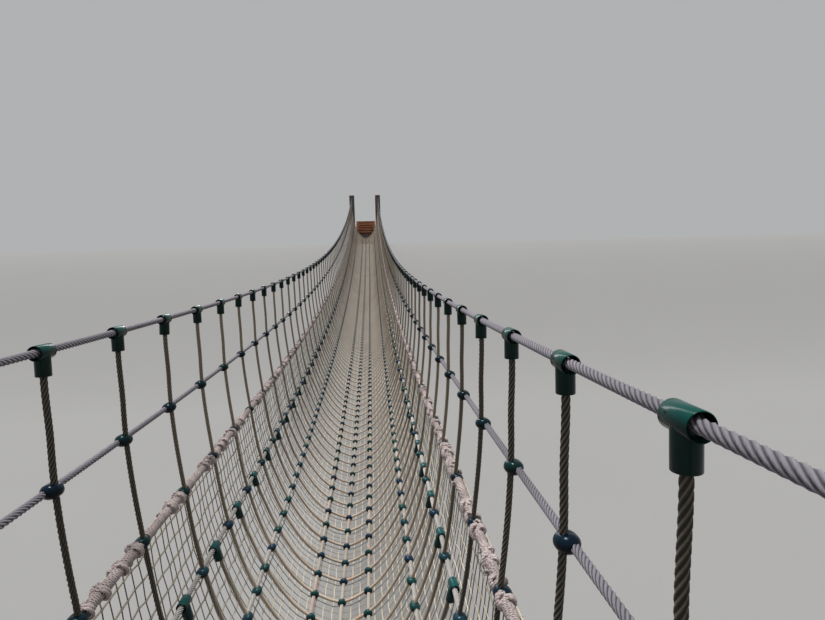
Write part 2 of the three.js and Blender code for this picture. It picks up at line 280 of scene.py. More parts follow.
def handrail_z(y):
    """Height of the handrail's middle."""
    return MIDSPAN_Z + SAG_RATE * (y - MIDSPAN_Y) ** 2


def hoop_y(number):
    """Place of a main hoop; a number that ends in a half is a short hoop."""
    rope = settings().rope
    return MIDSPAN_Y + (number - rope.bays / 2) * rope.bay


def half_section():
    """The right half of the U from the handrail to the middle, as rows of out and down."""
    rope = settings().rope
    return (
        (rope.handrail_out, 0.0),
        (rope.mid_rail_out, drop_of("mid_rail_left")),
        (rope.border_out, drop_of("net_border_rope_left")),
        (rope.tee_rope_out, drop_of("tee_rope_left")),
        (rope.lower_side_out, drop_of("lower_side_rope_left")),
        (rope.tread_out, drop_of("tread_rope_left")),
        (0.0, drop_of("tread_rope_centre")),
    )


HANDRAIL, MID_RAIL, BORDER, TEE_ROPE, LOWER_SIDE, TREAD, CENTRE = range(7)


def whole_section():
    """The thirteen corners of the U from the left handrail to the right one."""
    right = half_section()
    left = [(-out, -down) for out, down in right]
    return np.array(left + [(out, -down) for out, down in reversed(right[:-1])])


def smooth_through(corners, spacing=0.004):
    """A smooth line through the corners, as a dense row of points, and each corner's place in it."""
    legs = np.linalg.norm(np.diff(corners, axis=0), axis=1)
    rates = np.diff(corners, axis=0) / legs[:, None]
    weight = (legs[1:] / (legs[1:] + legs[:-1]))[:, None]
    middle = rates[:-1] * weight + rates[1:] * (1 - weight)
    tangents = np.vstack([rates[:1], middle, rates[-1:]])
    points, places = [], [0]
    for k, leg in enumerate(legs):
        t = np.linspace(0, 1, max(2, round(leg / spacing)), endpoint=False)[:, None]
        a, b = corners[k], corners[k + 1]
        bend = tangents[k] * t * (1 - t) ** 2 - tangents[k + 1] * t * t * (1 - t)
        points.append(a + (b - a) * smooth_step(t) + leg * bend)
        places.append(places[-1] + len(t))
    points.append(corners[-1:])
    return np.vstack(points), places


class Section:
    """The smooth U that every hoop follows, with its tangents and inward normals."""

    def __init__(self):
        self.points, self.places = smooth_through(whole_section())
        self.tangents = directions(self.points)
        self.inward = np.stack([-self.tangents[:, 1], self.tangents[:, 0]], axis=1)
        self.along = arc_lengths(self.points)

    def at(self, corner):
        """Point, tangent and inward normal where a long rope crosses."""
        k = self.places[corner]
        return self.points[k], self.tangents[k], self.inward[k]


def long_direction(y):
    """The long ropes' direction at y."""
    slope = 2 * SAG_RATE * (y - MIDSPAN_Y)
    return np.array([0.0, 1.0, slope]) / math.hypot(1.0, slope)


def lifted(flat, y):
    """Section points (out, up) placed in the bridge at y."""
    flat = np.atleast_2d(flat)
    return np.stack([flat[:, 0], np.full(len(flat), y), flat[:, 1] + handrail_z(y)], axis=1)


def camera_axes():
    """The camera's place and its right, up and backward directions."""
    studio = settings().studio
    y = MIDSPAN_Y - studio.camera_back
    eye = Vector((studio.camera_x, y, handrail_z(y) + studio.camera_up))
    sin, cos, level = math.sin(studio.yaw), math.cos(studio.yaw), math.cos(studio.pitch)
    ahead = Vector((sin * level, cos * level, math.sin(studio.pitch)))
    right = Matrix.Rotation(-studio.roll, 3, ahead) @ Vector((cos, -sin, 0.0))
    return eye, right, right.cross(ahead), -ahead


# Half the photograph's width and height a metre away, the margin round them, and how near it begins
VIEW_WIDE, VIEW_HIGH, VIEW_MARGIN, VIEW_START = 0.80, 0.62, 0.06, 0.05
OUT_OF_VIEW = 100.0  # stands for the distance of what the photograph doesn't show


def closeness(points):
    """Distance from the photographed spot, far larger outside the photograph's frame."""
    eye, right, up, back = (np.array(v) for v in camera_axes())
    away = points - eye
    depth = -away @ back
    inside = depth > VIEW_START
    for way, reach in ((right, VIEW_WIDE), (up, VIEW_HIGH)):
        inside &= np.abs(away @ way) < depth * reach + VIEW_MARGIN
    return np.where(inside, np.linalg.norm(away, axis=1), OUT_OF_VIEW)


# Making meshes

class Shapes:
    """Collects closed shapes and turns them into one mesh with its UV map and attributes."""

    def __init__(self):
        self.points, self.faces, self.coords, self.marks = [], [], [], []
        self.count = 0

    def add(self, points, faces, coords=None, tint=0.0, stain=0.0, strands=0.0):
        """Adds points, lists of equal-sized faces, and each face corner's UV."""
        points = np.asarray(points, float).reshape(-1, 3)
        for k, group in enumerate(faces):
            group = np.asarray(group, int)
            self.faces.append(group + self.count)
            uv = coords[k] if coords is not None else np.zeros(group.shape + (2,))
            self.coords.append(np.asarray(uv, float))
        marks = np.empty((len(points), 3))
        marks[:, 0], marks[:, 1], marks[:, 2] = tint, stain, strands
        self.points.append(points)
        self.marks.append(marks)
        self.count += len(points)

    def tube(self, centres, side, profile, radii, turns=None, along=None, lay=1.0, **marks):
        """A closed tube. side is one direction square to the whole line; profile holds the ring's angles."""
        n, m = len(centres), len(profile)
        side = np.broadcast_to(side, (n, 3))
        up = np.cross(directions(centres), side)
        turns = np.zeros(n) if turns is None else turns
        along = arc_lengths(centres) if along is None else along
        angles = (np.asarray(profile)[None, :] + turns[:, None])[..., None]
        radii = np.broadcast_to(radii, (n, m))[..., None]
        ring = centres[:, None] + radii * (np.cos(angles) * side[:, None] + np.sin(angles) * up[:, None])
        wide = np.append(profile, profile[0] + 2 * math.pi)
        phase = STRANDS * ((wide[None, :] + turns[:, None]) / (2 * math.pi) - along[:, None] / lay)
        grid = np.stack([phase, np.broadcast_to(along[:, None], phase.shape)], axis=2)
        uv = grid.reshape(-1, 2)[grid_quads(n, m + 1, round_columns=False)]
        caps = np.array([np.arange(m)[::-1], (n - 1) * m + np.arange(m)])
        cap_uv = np.stack([grid[0, :m][::-1], grid[-1, :m]])
        marks = {name: np.repeat(value, m) if np.ndim(value) else value for name, value in marks.items()}
        self.add(ring, [grid_quads(n, m), caps], [uv, cap_uv], **marks)

    def copies(self, template, places, turns=np.eye(3), tints=0.0):
        """Copies of a template (points, faces) at places, each with its own 3x3 of local axes as rows."""
        points, faces = template
        turns = np.broadcast_to(turns, (len(places), 3, 3))
        tints = np.broadcast_to(tints, len(places))
        moved = np.einsum("vk,nkc->nvc", points, turns) + places[:, None]
        counts = (np.arange(len(places)) * len(points))[:, None, None]
        groups = [(np.asarray(g)[None] + counts).reshape(-1, np.shape(g)[1]) for g in faces]
        self.add(moved, groups, tint=np.repeat(tints, len(points)))

    def add_solid(self, solid, points=None):
        """Adds a bmesh's faces, with other points in place of its own if given, and frees it."""
        solid.verts.index_update()
        sizes = {}
        for face in solid.faces:
            sizes.setdefault(len(face.verts), []).append([v.index for v in face.verts])
        self.add([v.co for v in solid.verts] if points is None else points, sizes.values())
        solid.free()

    def mesh(self, name):
        """The collected shapes as a mesh."""
        made = bpy.data.meshes.new(name)
        points = np.vstack(self.points)
        sizes = np.concatenate([np.full(len(g), g.shape[1]) for g in self.faces])
        loops = np.concatenate([g.ravel() for g in self.faces])
        made.vertices.add(len(points))
        made.vertices.foreach_set("co", points.ravel().astype(np.float32))
        made.loops.add(len(loops))
        made.loops.foreach_set("vertex_index", loops.astype(np.int32))
        made.polygons.add(len(sizes))
        made.polygons.foreach_set("loop_start", np.append(0, np.cumsum(sizes)[:-1]).astype(np.int32))
        made.polygons.foreach_set("loop_total", sizes.astype(np.int32))
        coords = np.concatenate([c.ravel() for c in self.coords])
        made.uv_layers.new(name="rope").data.foreach_set("uv", coords.astype(np.float32))
        marks = np.vstack(self.marks).astype(np.float32)
        # stain holds rust stains on the ropes, and on the lashing's windings the depth by which shade is
        # painted in their gaps
        for k, attribute in enumerate(("tint", "stain", "strands")):
            made.attributes.new(attribute, "FLOAT", "POINT").data.foreach_set("value", marks[:, k].copy())
        made.update(calc_edges=True)
        made.validate()
        return made


def make_piece(name, shapes, finish, replaces=(), smooth_angle=40.0):
    """One named piece of the bridge from collected shapes or a mesh."""
    mesh = shapes.mesh(name) if isinstance(shapes, Shapes) else shapes
    mesh.materials.clear()
    mesh.materials.append(finish)
    mesh.shade_smooth()
    if smooth_angle:
        mesh.set_sharp_from_angle(angle=math.radians(smooth_angle))
    piece = bpy.data.objects.new(name, mesh)
    bpy.context.scene.collection.objects.link(piece)
    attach(piece, "root")
    if replaces:
        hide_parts(*replaces)


# How finely a rope is drawn: up to this distance, points round a strand, rings to a lay
FINENESS = ((1.15, 4, 12), (3.2, 2, 8))
GROOVE_SHARE = 0.78  # radius at a filled groove beside the crown's
PLAIN_SHARE = 0.96  # radius of a round tube beside the crown's


def strand_ring(per_strand):
    """Angles and radius shares round six touching strands, with the grooves partly filled by fibres."""
    share = np.arange(STRANDS * per_strand) / per_strand
    angles = (share - 0.5) * 2 * math.pi / STRANDS
    off = np.abs(share % 1 - 0.5) * 2 * math.pi / STRANDS
    centre = 1 - STRAND_SHARE
    outside = np.sqrt(np.maximum(STRAND_SHARE ** 2 - (centre * np.sin(off)) ** 2, 0.0))
    return angles, np.maximum(centre * np.cos(off) + outside, GROOVE_SHARE)


def lay_rope(shapes, points, side, radius, joints, coarse_step, sides=7, stain=0.0, tint=0.0, wound=False):
    """Lays one rope along a dense line: real strands near the photographed spot, a round tube elsewhere.

    joints holds the points inside a fitting, where one way of drawing may give place to the next. A wound
    rope is hidden by its lashing, so it stays a round tube.
    """
    rope = settings().rope
    along = arc_lengths(points)
    near = closeness(points) + OUT_OF_VIEW * wound
    level = sum((near > limit).astype(int) for limit, _, _ in FINENESS)
    cuts = [0, *sorted({k for k in joints if 0 < k < len(points) - 1}), len(points) - 1]
    spans = []
    for first, last in zip(cuts, cuts[1:]):
        finest = level[first:last + 1].min()
        if spans and spans[-1][2] == finest:
            spans[-1][1] = last
        else:
            spans.append([first, last, finest])
    stain = np.broadcast_to(stain, len(points))
    for first, last, finest in spans:
        plain = finest >= len(FINENESS)
        step = coarse_step if plain else rope.lay / FINENESS[finest][2]
        count = max(2, math.ceil((along[last] - along[first]) / step) + 1)
        s = np.linspace(along[first], along[last], count)
        centres = np.stack([np.interp(s, along, points[:, k]) for k in range(3)], axis=1)
        angles, radii = (ring_angles(sides), PLAIN_SHARE) if plain else strand_ring(FINENESS[finest][1])
        turns = None if plain else 2 * math.pi * s / rope.lay
        shapes.tube(centres, side, angles, radius * radii, turns, s, rope.lay,
                    stain=np.interp(s, along, stain), tint=tint, strands=0.0 if plain else 1.0)


# Finishes

PAINTED_SUNLIGHT = (1.5, 9.0)  # from midspan: where painted sunlight begins to make the ropes paler, and where it is full


def times(amount, colour):
    """A colour made darker or lighter."""
    return tuple(amount * c for c in colour)


class Value:
    """A shader socket that can be used in sums."""

    def __init__(self, finish, socket):
        self.finish, self.socket = finish, socket

    def maths(self, operation, *others):
        """A Math node on this value and the others."""
        return self.finish.node("ShaderNodeMath", {"operation": operation}, dict(enumerate((self, *others))))

    def __add__(self, other):
        return self.maths("ADD", other)

    __radd__ = __add__

    def __mul__(self, other):
        return self.maths("MULTIPLY", other)

    __rmul__ = __mul__

    def __sub__(self, other):
        return self.maths("SUBTRACT", other)

    def __rsub__(self, other):
        return self.finish.node("ShaderNodeMath", {"operation": "SUBTRACT"}, {0: other, 1: self})

    def __abs__(self):
        return self.maths("ABSOLUTE")

    def fraction(self):
        """What is left over above the whole number."""
        return self.maths("FRACT")

    def between(self, low, high):
        """0 below low, 1 above high and smooth in between."""
        return self.finish.node("ShaderNodeMapRange", {"interpolation_type": "SMOOTHSTEP"},
                                {"Value": self, "From Min": low, "From Max": high}, "Result")


class Finish:
    """A node material of one surface shader."""

    def __init__(self, name, **constants):
        self.material = bpy.data.materials.new(name)
        self.material.use_nodes = True
        self.tree = self.material.node_tree
        self.tree.nodes.clear()
        self.shader = self.tree.nodes.new("ShaderNodeBsdfPrincipled")
        output = self.tree.nodes.new("ShaderNodeOutputMaterial")
        self.tree.links.new(self.shader.outputs["BSDF"], output.inputs["Surface"])
        self.set(**constants)

    def node(self, kind, settings=None, inputs=None, output=0):
        """Adds a node, sets it up, feeds it and gives one of its outputs."""
        made = self.tree.nodes.new(kind)
        for key, value in (settings or {}).items():
            setattr(made, key, value)
        for key, value in (inputs or {}).items():
            self.feed(made.inputs[key], value)
        return Value(self, made.outputs[output])

    def feed(self, socket, value):
        """Links a value to a socket, or sets the socket."""
        if isinstance(value, Value):
            self.tree.links.new(value.socket, socket)
        elif socket.type == "RGBA":
            socket.default_value = (*value, 1.0)
        else:
            socket.default_value = value

    def attribute(self, name):
        """One of the mesh's own marks."""
        return self.node("ShaderNodeAttribute", {"attribute_name": name}, output="Fac")

    def uv(self):
        """The strand count round the rope, and metres along it."""
        both = self.node("ShaderNodeUVMap", {"uv_map": "rope"}, output="UV")
        return self.part(both, 0), self.part(both, 1)

    def part(self, vector, axis):
        """One number of a vector."""
        return self.node("ShaderNodeSeparateXYZ", None, {0: vector}, axis)

    def vector(self, x, y):
        """A vector from two values."""
        return self.node("ShaderNodeCombineXYZ", None, {0: x, 1: y})

    def upward(self):
        """1 on surfaces that face the sky, -1 underneath."""
        return self.part(self.node("ShaderNodeNewGeometry", output="Normal"), 2)

    def out(self):
        """How far out from the centre line."""
        return abs(self.part(self.place(), 0))

    def from_midspan(self):
        """How far along the bridge from its middle."""
        return abs(self.part(self.place(), 1) - MIDSPAN_Y)

    def painted_sunlight(self):
        """0 about the middle of the bridge, 1 in the open towards its ends: the share of painted sunlight.
        """
        return self.from_midspan().between(*PAINTED_SUNLIGHT)

    def place(self, stretch=(1.0, 1.0, 1.0)):
        """The point in the bridge, stretched along each axis."""
        point = self.node("ShaderNodeTexCoord", output="Object")
        return self.node("ShaderNodeVectorMath", {"operation": "MULTIPLY"}, {0: point, 1: stretch})

    def noise(self, scale, detail=2.0, roughness=0.5, stretch=(1.0, 1.0, 1.0)):
        """Noise from 0 to 1 through the bridge."""
        return self.noise_at(self.place(stretch), scale, detail, roughness)

    def noise_at(self, vector, scale=1.0, detail=2.0, roughness=0.5):
        """Noise from 0 to 1 at a vector."""
        inputs = {"Vector": vector, "Scale": scale, "Detail": detail, "Roughness": roughness}
        return self.node("ShaderNodeTexNoise", None, inputs, "Fac")

    def mix(self, factor, low, high):
        """A colour between two colours."""
        return self.node("ShaderNodeMix", {"data_type": "RGBA"}, {0: factor, 6: low, 7: high}, 2)

    def set(self, **sockets):
        """Feeds the surface shader's sockets."""
        for key, value in sockets.items():
            self.feed(self.shader.inputs[key.replace("_", " ").title().replace("Ior", "IOR")], value)

    def done(self, tone, roughness, height, distance, **sockets):
        """The material with its colour, its roughness and bumps that stand a distance in metres high."""
        bumps = self.node("ShaderNodeBump", None, {"Distance": distance, "Height": height})
        self.set(base_color=tone, roughness=roughness, normal=bumps, **sockets)
        return self.material


def rope_finish(name, crown, groove, width, painted_top_light, pink=0.0, leg=None):
    """Weathered six-strand rope: pale crowns, grooves darkened by grime and painted shade, fine fibres, and
    painted shade on the underside.

    width holds how far up a strand the grooves' grime and painted shade is solid, and where it ends;
    lift, a painted light on tops, is how much less of it lies on faces that turn up. leg is the crown's
    colour on a hoop's legs, where feet don't reach it; it is painted as in shade about midspan and paler
    towards the ends as painted sunlight.
    """
    rope = settings().rope
    finish = Finish(name, sheen_weight=0.12, sheen_roughness=0.5, specular_ior_level=0.25)
    phase, along = finish.uv()
    crest = abs(phase.fraction() * 2 - 1)
    fibres = finish.noise_at(finish.vector(phase * 7.0, along * 60.0), 1.0, 3.0, 0.65)
    threads = finish.noise_at(finish.vector(phase * 22.0, along * 160.0), 1.0, 1.0)
    facing = finish.upward()
    pale = tuple(min(0.85, c * 1.3 + 0.03) for c in crown)
    tone = finish.mix(finish.noise(2.3, 4.0, 0.6).between(0.32, 0.68), times(0.7, crown), crown)
    tone = finish.mix(fibres.between(0.45, 0.75) * 0.55, tone, pale)
    if pink:
        patches = finish.noise_at(finish.vector(finish.attribute("tint") * 37.0, along * 5.5))
        tone = finish.mix(patches.between(0.50, 0.62) * pink, tone, rope.pink_colour)
    tone = finish.mix(finish.attribute("stain") * fibres.between(0.15, 0.6), tone, rope.rust_colour)
    # Faces that turn up keep less of the grooves' darkening: painted light on the tops
    clean_and_lit = crest + facing.between(-0.5, 0.7) * painted_top_light
    if leg:
        trodden = 1 - finish.out().between(rope.trodden, rope.untrodden)
        # Painted shade about midspan, fading along the bridge; out of it the grooves darken less too
        brighter = finish.from_midspan().between(rope.shade_reach, rope.brighter)
        leg = finish.mix(brighter, rope.shaded_leg_colour, leg)
        # Painted sunlight: the legs grow paler towards the ends of the bridge
        tone = finish.mix(trodden + (1 - trodden) * finish.painted_sunlight() * 0.8, leg, tone)
        clean_and_lit = clean_and_lit + (trodden + (1 - trodden) * brighter * 0.5) * 0.45
    # Grooves darkened by grime and painted shade
    grime_and_shade = 1 - clean_and_lit.between(*width)
    tone = finish.mix(grime_and_shade * 0.95, tone, groove)
    # Painted shade on the underside
    tone = finish.mix((1 - facing.between(-0.9, 0.0)) * 0.5, tone, times(0.3, crown))
    roundness = crest.between(0.0, 0.9) * (1 - finish.attribute("strands") * 0.8)
    return finish.done(tone, 0.72 + fibres * 0.22, roundness + fibres * 0.22 + threads * 0.10, 0.0016)


def cord_finish(name, base, dark):
    """Thin twisted cord, dusty and unevenly faded, with painted shade between its twists and underneath
    where it hangs on the walls, less of it towards the bridge's ends.
    """
    finish = Finish(name, specular_ior_level=0.2)
    trodden = settings().rope.trodden
    phase, along = finish.uv()
    twist = 1 - abs((phase + along * 160.0).fraction() * 2 - 1)
    grime = finish.noise(6.0, 3.0, 0.6)
    tone = finish.mix(grime.between(0.3, 0.6), dark, base)
    # Painted shade under the cords where they hang on the walls, taken away towards the ends as painted
    # sunlight
    wall = finish.out().between(0.7 * trodden, trodden) * (1 - finish.painted_sunlight() * 0.9)
    tone = finish.mix((1 - finish.upward().between(-0.15, 0.45)) * wall, tone, times(0.35, dark))
    # Painted shade between the twists, deeper on the walls
    tone = finish.mix((1 - twist.between(0.0, 0.6)) * (0.25 + wall * 0.25), tone, times(0.45, dark))
    return finish.done(tone, 0.8 + grime * 0.15, twist, 0.0007)


def lashing_finish():
    """Twisted cord of the windings, or ridges across the sleeve where they aren't modelled one by one, with
    painted shade in the gaps between turns and underneath.
    """
    net = settings().net
    base, gaps = net.lashing_colour, times(2, settings().rope.groove_colour)
    finish = Finish("lashing_cord", specular_ior_level=0.2)
    phase, along = finish.uv()
    wound = finish.attribute("strands")
    turn = abs((along * (1 / (2.1 * net.lashing_cord)) + phase * (1 / STRANDS)).fraction() * 2 - 1)
    twist = abs((phase * 0.5).fraction() * 2 - 1)
    ridge = turn + (twist - turn) * wound
    lumps, fine = finish.noise(60.0), finish.noise(900.0, 1.0)
    tone = finish.mix(finish.noise(14.0, 3.0).between(0.35, 0.65), times(0.72, base), base)
    tone = finish.mix(lumps.between(0.5, 0.7) * (0.4 - wound * 0.25), tone, times(0.4, base))
    # Painted shade in the gaps between turns
    tone = finish.mix((1 - ridge.between(0.0, 0.5)) * (0.85 - wound * 0.6), tone, gaps)
    # Painted shade deeper in the gaps, by how far each point lies under its turns' crowns
    tone = finish.mix(finish.attribute("stain").between(0.06, 0.45), tone, gaps)
    # Painted shade underneath
    tone = finish.mix((1 - finish.upward().between(-0.6, 0.6)) * 0.35, tone, times(0.25, base))
    return finish.done(tone, 0.8 + fine * 0.15, ridge * 0.8 + lumps * 0.25 + fine * 0.2, 0.0014)


def plastic_finish(name, first, second):
    """Glossy moulded plastic, from one colour to another by piece, with fine scuffs and dust, and painted
    shade on its sides and underside.
    """
    finish = Finish(name, specular_ior_level=0.15)
    tint = finish.attribute("tint").between(0.0, 1.0)
    scuffs = finish.noise(420.0, 2.0, 0.7, (1.0, 0.35, 1.0))
    dust = finish.noise(38.0, 3.0, 0.6)
    top = finish.upward().between(-0.4, 1.0)
    tone = finish.mix(tint, first, second)
    # Painted shade: faces that don't turn up are much darker
    tone = finish.mix(top, finish.mix(tint, times(0.18, first), times(0.18, second)), tone)
    tone = finish.mix(dust.between(0.6, 0.9) * top * 0.15, tone, (0.16, 0.19, 0.18))
    roughness = 0.16 + scuffs * 0.06 + dust.between(0.5, 0.8) * 0.12
    return finish.done(tone, roughness, scuffs * 0.5 + dust * 0.5, 0.00003)


def timber_finish(name, grain_axis, fresh, worn, crack=0.5):
    """Sawn timber: long grain along one axis, dark checks, and paler worn ridges."""
    long, longer, longest = ([share if axis == grain_axis else other for axis in "xyz"]
                             for share, other in ((0.055, 1.0), (0.055 * 0.4, 0.4), (0.055 * 0.35, 1.0)))
    finish = Finish(name, specular_ior_level=0.3)
    grain = finish.noise(150.0, 4.0, 0.65, long)
    bands = 1 - abs((finish.noise(55.0, stretch=longer) * 7.0).fraction() * 2 - 1)
    split = 1 - abs(finish.noise(42.0, 1.0, stretch=longest) * 2 - 1).between(0.0, 0.035)
    tone = finish.mix(grain.between(0.35, 0.7), fresh, worn)
    tone = finish.mix(bands.between(0.3, 1.0) * 0.45, tone, times(0.55, fresh))
    tone = finish.mix(finish.noise(9.0, 4.0, 0.6).between(0.58, 0.8) * 0.35, tone, (0.075, 0.08, 0.05))
    tone = finish.mix(split * crack, tone, (0.012, 0.008, 0.006))
    return finish.done(tone, 0.7 + grain * 0.22, grain * 0.6 + bands * 0.25 - split * crack * 1.6, 0.0022)


def steel_finish():
    """Galvanised steel with dull spangle, streaks of grime and rust freckles."""
    base = settings().timber.steel_colour
    finish = Finish("galvanised_steel", specular_ior_level=0.5)
    flakes = finish.node("ShaderNodeTexVoronoi", None, {"Vector": finish.place(), "Scale": 85.0}, "Color")
    spangle = finish.part(flakes, 0)
    grime = finish.noise(28.0, 4.0, 0.6, (1.0, 1.0, 0.25))
    rust = finish.noise(60.0, 4.0, 0.7).between(0.62, 0.74)
    tone = finish.mix(spangle, times(0.78, base), base)
    tone = finish.mix(grime.between(0.45, 0.8) * 0.7, tone, (0.055, 0.042, 0.034))
    tone = finish.mix(rust * 0.8, tone, (0.16, 0.05, 0.02))
    roughness = 0.42 + spangle * 0.12 + rust * 0.4
    return finish.done(tone, roughness, grime * 0.4 + rust * 0.6, 0.0004, metallic=0.7 - rust * 0.6)


# Long ropes

LONG_POINTS = 6000  # points on a long rope's dense line

# Each long rope's name, corner of the section, finish and slot
LONG_ROPES = (
    ("handrail", HANDRAIL, "rail", "handrail_rope"),
    ("mid_rail", MID_RAIL, "rail", "side_rope"),
    ("net_border_rope", BORDER, "side", "side_rope"),
    ("tee_rope", TEE_ROPE, "side", "side_rope"),
    ("lower_side_rope", LOWER_SIDE, "side", "side_rope"),
    ("tread_rope", TREAD, "floor", "floor_rope"),
    ("tread_rope", CENTRE, "floor", "floor_rope"),
)


def corner_of(index, sign):
    """A long rope's corner in the whole section."""
    return index if sign < 0 else 2 * CENTRE - index


def rope_index(corner):
    """The long rope that a corner of the whole section belongs to."""
    return min(corner, 2 * CENTRE - corner)


def long_line(section, corner, y):
    """A long rope's line: in the middle of T fittings and lashings, but outside that of ball connectors."""
    point, _, inward = section.at(corner)
    out = point - inward * (0.0 if rope_index(corner) in (HANDRAIL, BORDER) else settings().rope.offset)
    return np.stack([np.full(len(y), out[0]), y, handrail_z(y) + out[1]], axis=1)


class FOOTBRIDGE_OT_long_ropes(bpy.types.Operator):
    """Lay the thirteen long ropes from gateway to gateway."""

    bl_idname = "footbridge.long_ropes"
    bl_label = "Long ropes"

    def execute(self, context):
        rope = settings().rope
        section = Section()
        y = np.linspace(ROPE_START_Y, ROPE_END_Y, LONG_POINTS)
        joints = np.searchsorted(y, [hoop_y(number) for number in range(rope.bays + 1)])
        # Each finish's crown, its groove colour of grime and painted shade, its painted light on tops, and
        # its pink wear
        looks = (
            ("rail", rope.rail_colour, times(0.2, rope.rail_colour), 0.2, 0.0),
            ("side", rope.side_colour, times(0.2, rope.side_colour), 0.0, 0.0),
            ("floor", rope.floor_colour, rope.groove_colour, 0.25, 0.6),
        )
        finishes = {name: rope_finish(f"{name}_rope_lay", crown, groove, (0.25, 0.75), painted_top_light, pink)
                    for name, crown, groove, painted_top_light, pink in looks}
        for name, index, finish, slot in LONG_ROPES:
            for side, sign in SIDES if index != CENTRE else (("centre", 1.0),):
                shapes = Shapes()
                corner = corner_of(index, sign)
                radius = rope.side_radius if index > BORDER else rope.long_radius
                lay_rope(shapes, long_line(section, corner, y), ACROSS, radius, joints, rope.bay / 2,
                         tint=corner / (2 * CENTRE + 1), wound=index == BORDER)
                make_piece(f"{name}_{side}_laid", shapes, finishes[finish], [f"{name}_{side}"], 0)
        return {"FINISHED"}


# Hoops

HOOP_EASE = 0.12  # length over which a hoop leaves its T fitting for the connectors' inner side
HOOP_END = 0.7  # of the stem's reach: how far from the long rope's middle a hoop ends
HOOP_STEP = 0.056  # from ring to ring where a hoop is a round tube


def hoop_points(section, y, corner):
    """A hoop's dense line on the inner side of the connectors, cut short at both ends."""
    stem = settings().fitting.stem_reach
    a, b = section.places[corner], section.places[2 * CENTRE - corner]
    reach = section.along[a:b + 1] - section.along[a]
    from_end = np.minimum(reach, reach[-1] - reach)
    keep = from_end >= stem * HOOP_END
    ease = smooth_step(np.clip((from_end - stem) / HOOP_EASE, 0, 1)[:, None])
    flat = section.points[a:b + 1] + section.inward[a:b + 1] * settings().rope.offset * ease
    return lifted(flat[keep], y), reach[keep] + section.along[a]


STAINS = (0.0, 0.0, 0.0, 0.4, 0.75)  # strengths to choose from
STAIN_AWAY, STAIN_LENGTH = (0.022, 0.04), 0.014


def stain_along(section, along, rng):
    """Orange stain on one side of some tread connectors."""
    stain = np.zeros(len(along))
    for corner in (TREAD, CENTRE, 2 * CENTRE - TREAD):
        amount = rng.choice(STAINS)
        away = rng.choice([-1, 1]) * rng.uniform(*STAIN_AWAY)
        middle = section.along[section.places[corner]] + away
        stain = np.maximum(stain, amount * np.exp(-((along - middle) / STAIN_LENGTH) ** 2))
    return stain


class FOOTBRIDGE_OT_hoops(bpy.types.Operator):
    """Hang the main hoops from the handrails and the short hoops from the tee ropes."""

    bl_idname = "footbridge.hoops"
    bl_label = "Hoops"

    def execute(self, context):
        rope = settings().rope
        section = Section()
        rng = np.random.default_rng(11)
        finish = rope_finish("hoop_rope_lay", rope.hoop_colour, rope.hoop_groove, (0.62, 0.95), 0.3,
                             leg=rope.leg_colour)
        carried = [f"{name}_{side}" for name in ("handrail", "lower_side_rope") for side, _ in SIDES]
        groups = (
            ("main_hoops", 0.0, HANDRAIL, rope.bays + 1, [*carried, "tread_rope_centre"]),
            ("short_hoops", 0.5, TEE_ROPE, rope.bays, []),
        )
        for name, shift, start, count, nodes in groups:
            shapes = Shapes()
            for number in range(count):
                points, along = hoop_points(section, hoop_y(number + shift), start)
                joints = np.searchsorted(along, section.along[section.places[start + 1:2 * CENTRE - start]])
                lay_rope(shapes, points, ALONG, rope.radius, joints, HOOP_STEP, 5,
                         stain_along(section, along, rng), rng.random())
            make_piece(name, shapes, finish, nodes, 0)
        return {"FINISHED"}


# Moulded connectors

# How a fitting is drawn up to a distance: points round it, and then its rings or whether its mouths are fine
BALLS = ((2.2, 22, 15), (6.0, 14, 9), (math.inf, 7, 4))
TEES = ((2.4, 32, True), (6.0, 14, True), (math.inf, 8, False))

BALL_FULLNESS = 0.9  # below 1 the ball is fuller than an ellipsoid
SADDLE_WIDTH = 0.0065


def ball_template(around, rings):
    """A connector: an oblate ball with a saddle across each end where the hoop goes in."""
    fitting = settings().fitting
    half = np.array([fitting.ball_width, fitting.ball_depth, fitting.ball_height]) / 2
    angle = ring_angles(around)
    tilt = np.linspace(0, math.pi, rings + 1)[1:-1]
    wide, high = np.sin(tilt) ** BALL_FULLNESS, np.cos(tilt)
    ring = [np.outer(wide, np.cos(angle)), np.outer(wide, np.sin(angle)), np.outer(high, np.ones(around))]
    unit = np.vstack([np.stack(ring, axis=2).reshape(-1, 3), [[0, 0, 1], [0, 0, -1]]])
    points = unit * half
    saddle = fitting.saddle * np.exp(-(points[:, 0] / SADDLE_WIDTH) ** 2)
    points[:, 2] -= unit[:, 2] * saddle
    n = rings - 1
    j = np.arange(around)
    after = (j + 1) % around
    last = (n - 1) * around
    top = np.stack([np.full(around, n * around), j, after], axis=1)
    bottom = np.stack([np.full(around, n * around + 1), last + after, last + j], axis=1)
    return points, [grid_quads(n, around)[:, TURNED_OVER], np.vstack([top, bottom])]


def lathe(profile, sides, axis="x", closed=False):
    """A shape turned from (along, radius) rows. A closed profile makes a ring, an open one gets end caps."""
    profile = np.asarray(profile, float)
    angle = ring_angles(sides)
    a = np.repeat(profile[:, 0], sides)
    b = np.outer(profile[:, 1], np.cos(angle)).ravel()
    c = np.outer(profile[:, 1], np.sin(angle)).ravel()
    points = np.stack([a, b, c] if axis == "x" else [b, c, a], axis=1)
    faces = [grid_quads(len(profile), sides, closed)]
    if not closed:
        faces.append(np.array([np.arange(sides)[::-1], (len(profile) - 1) * sides + np.arange(sides)]))
    return points, faces


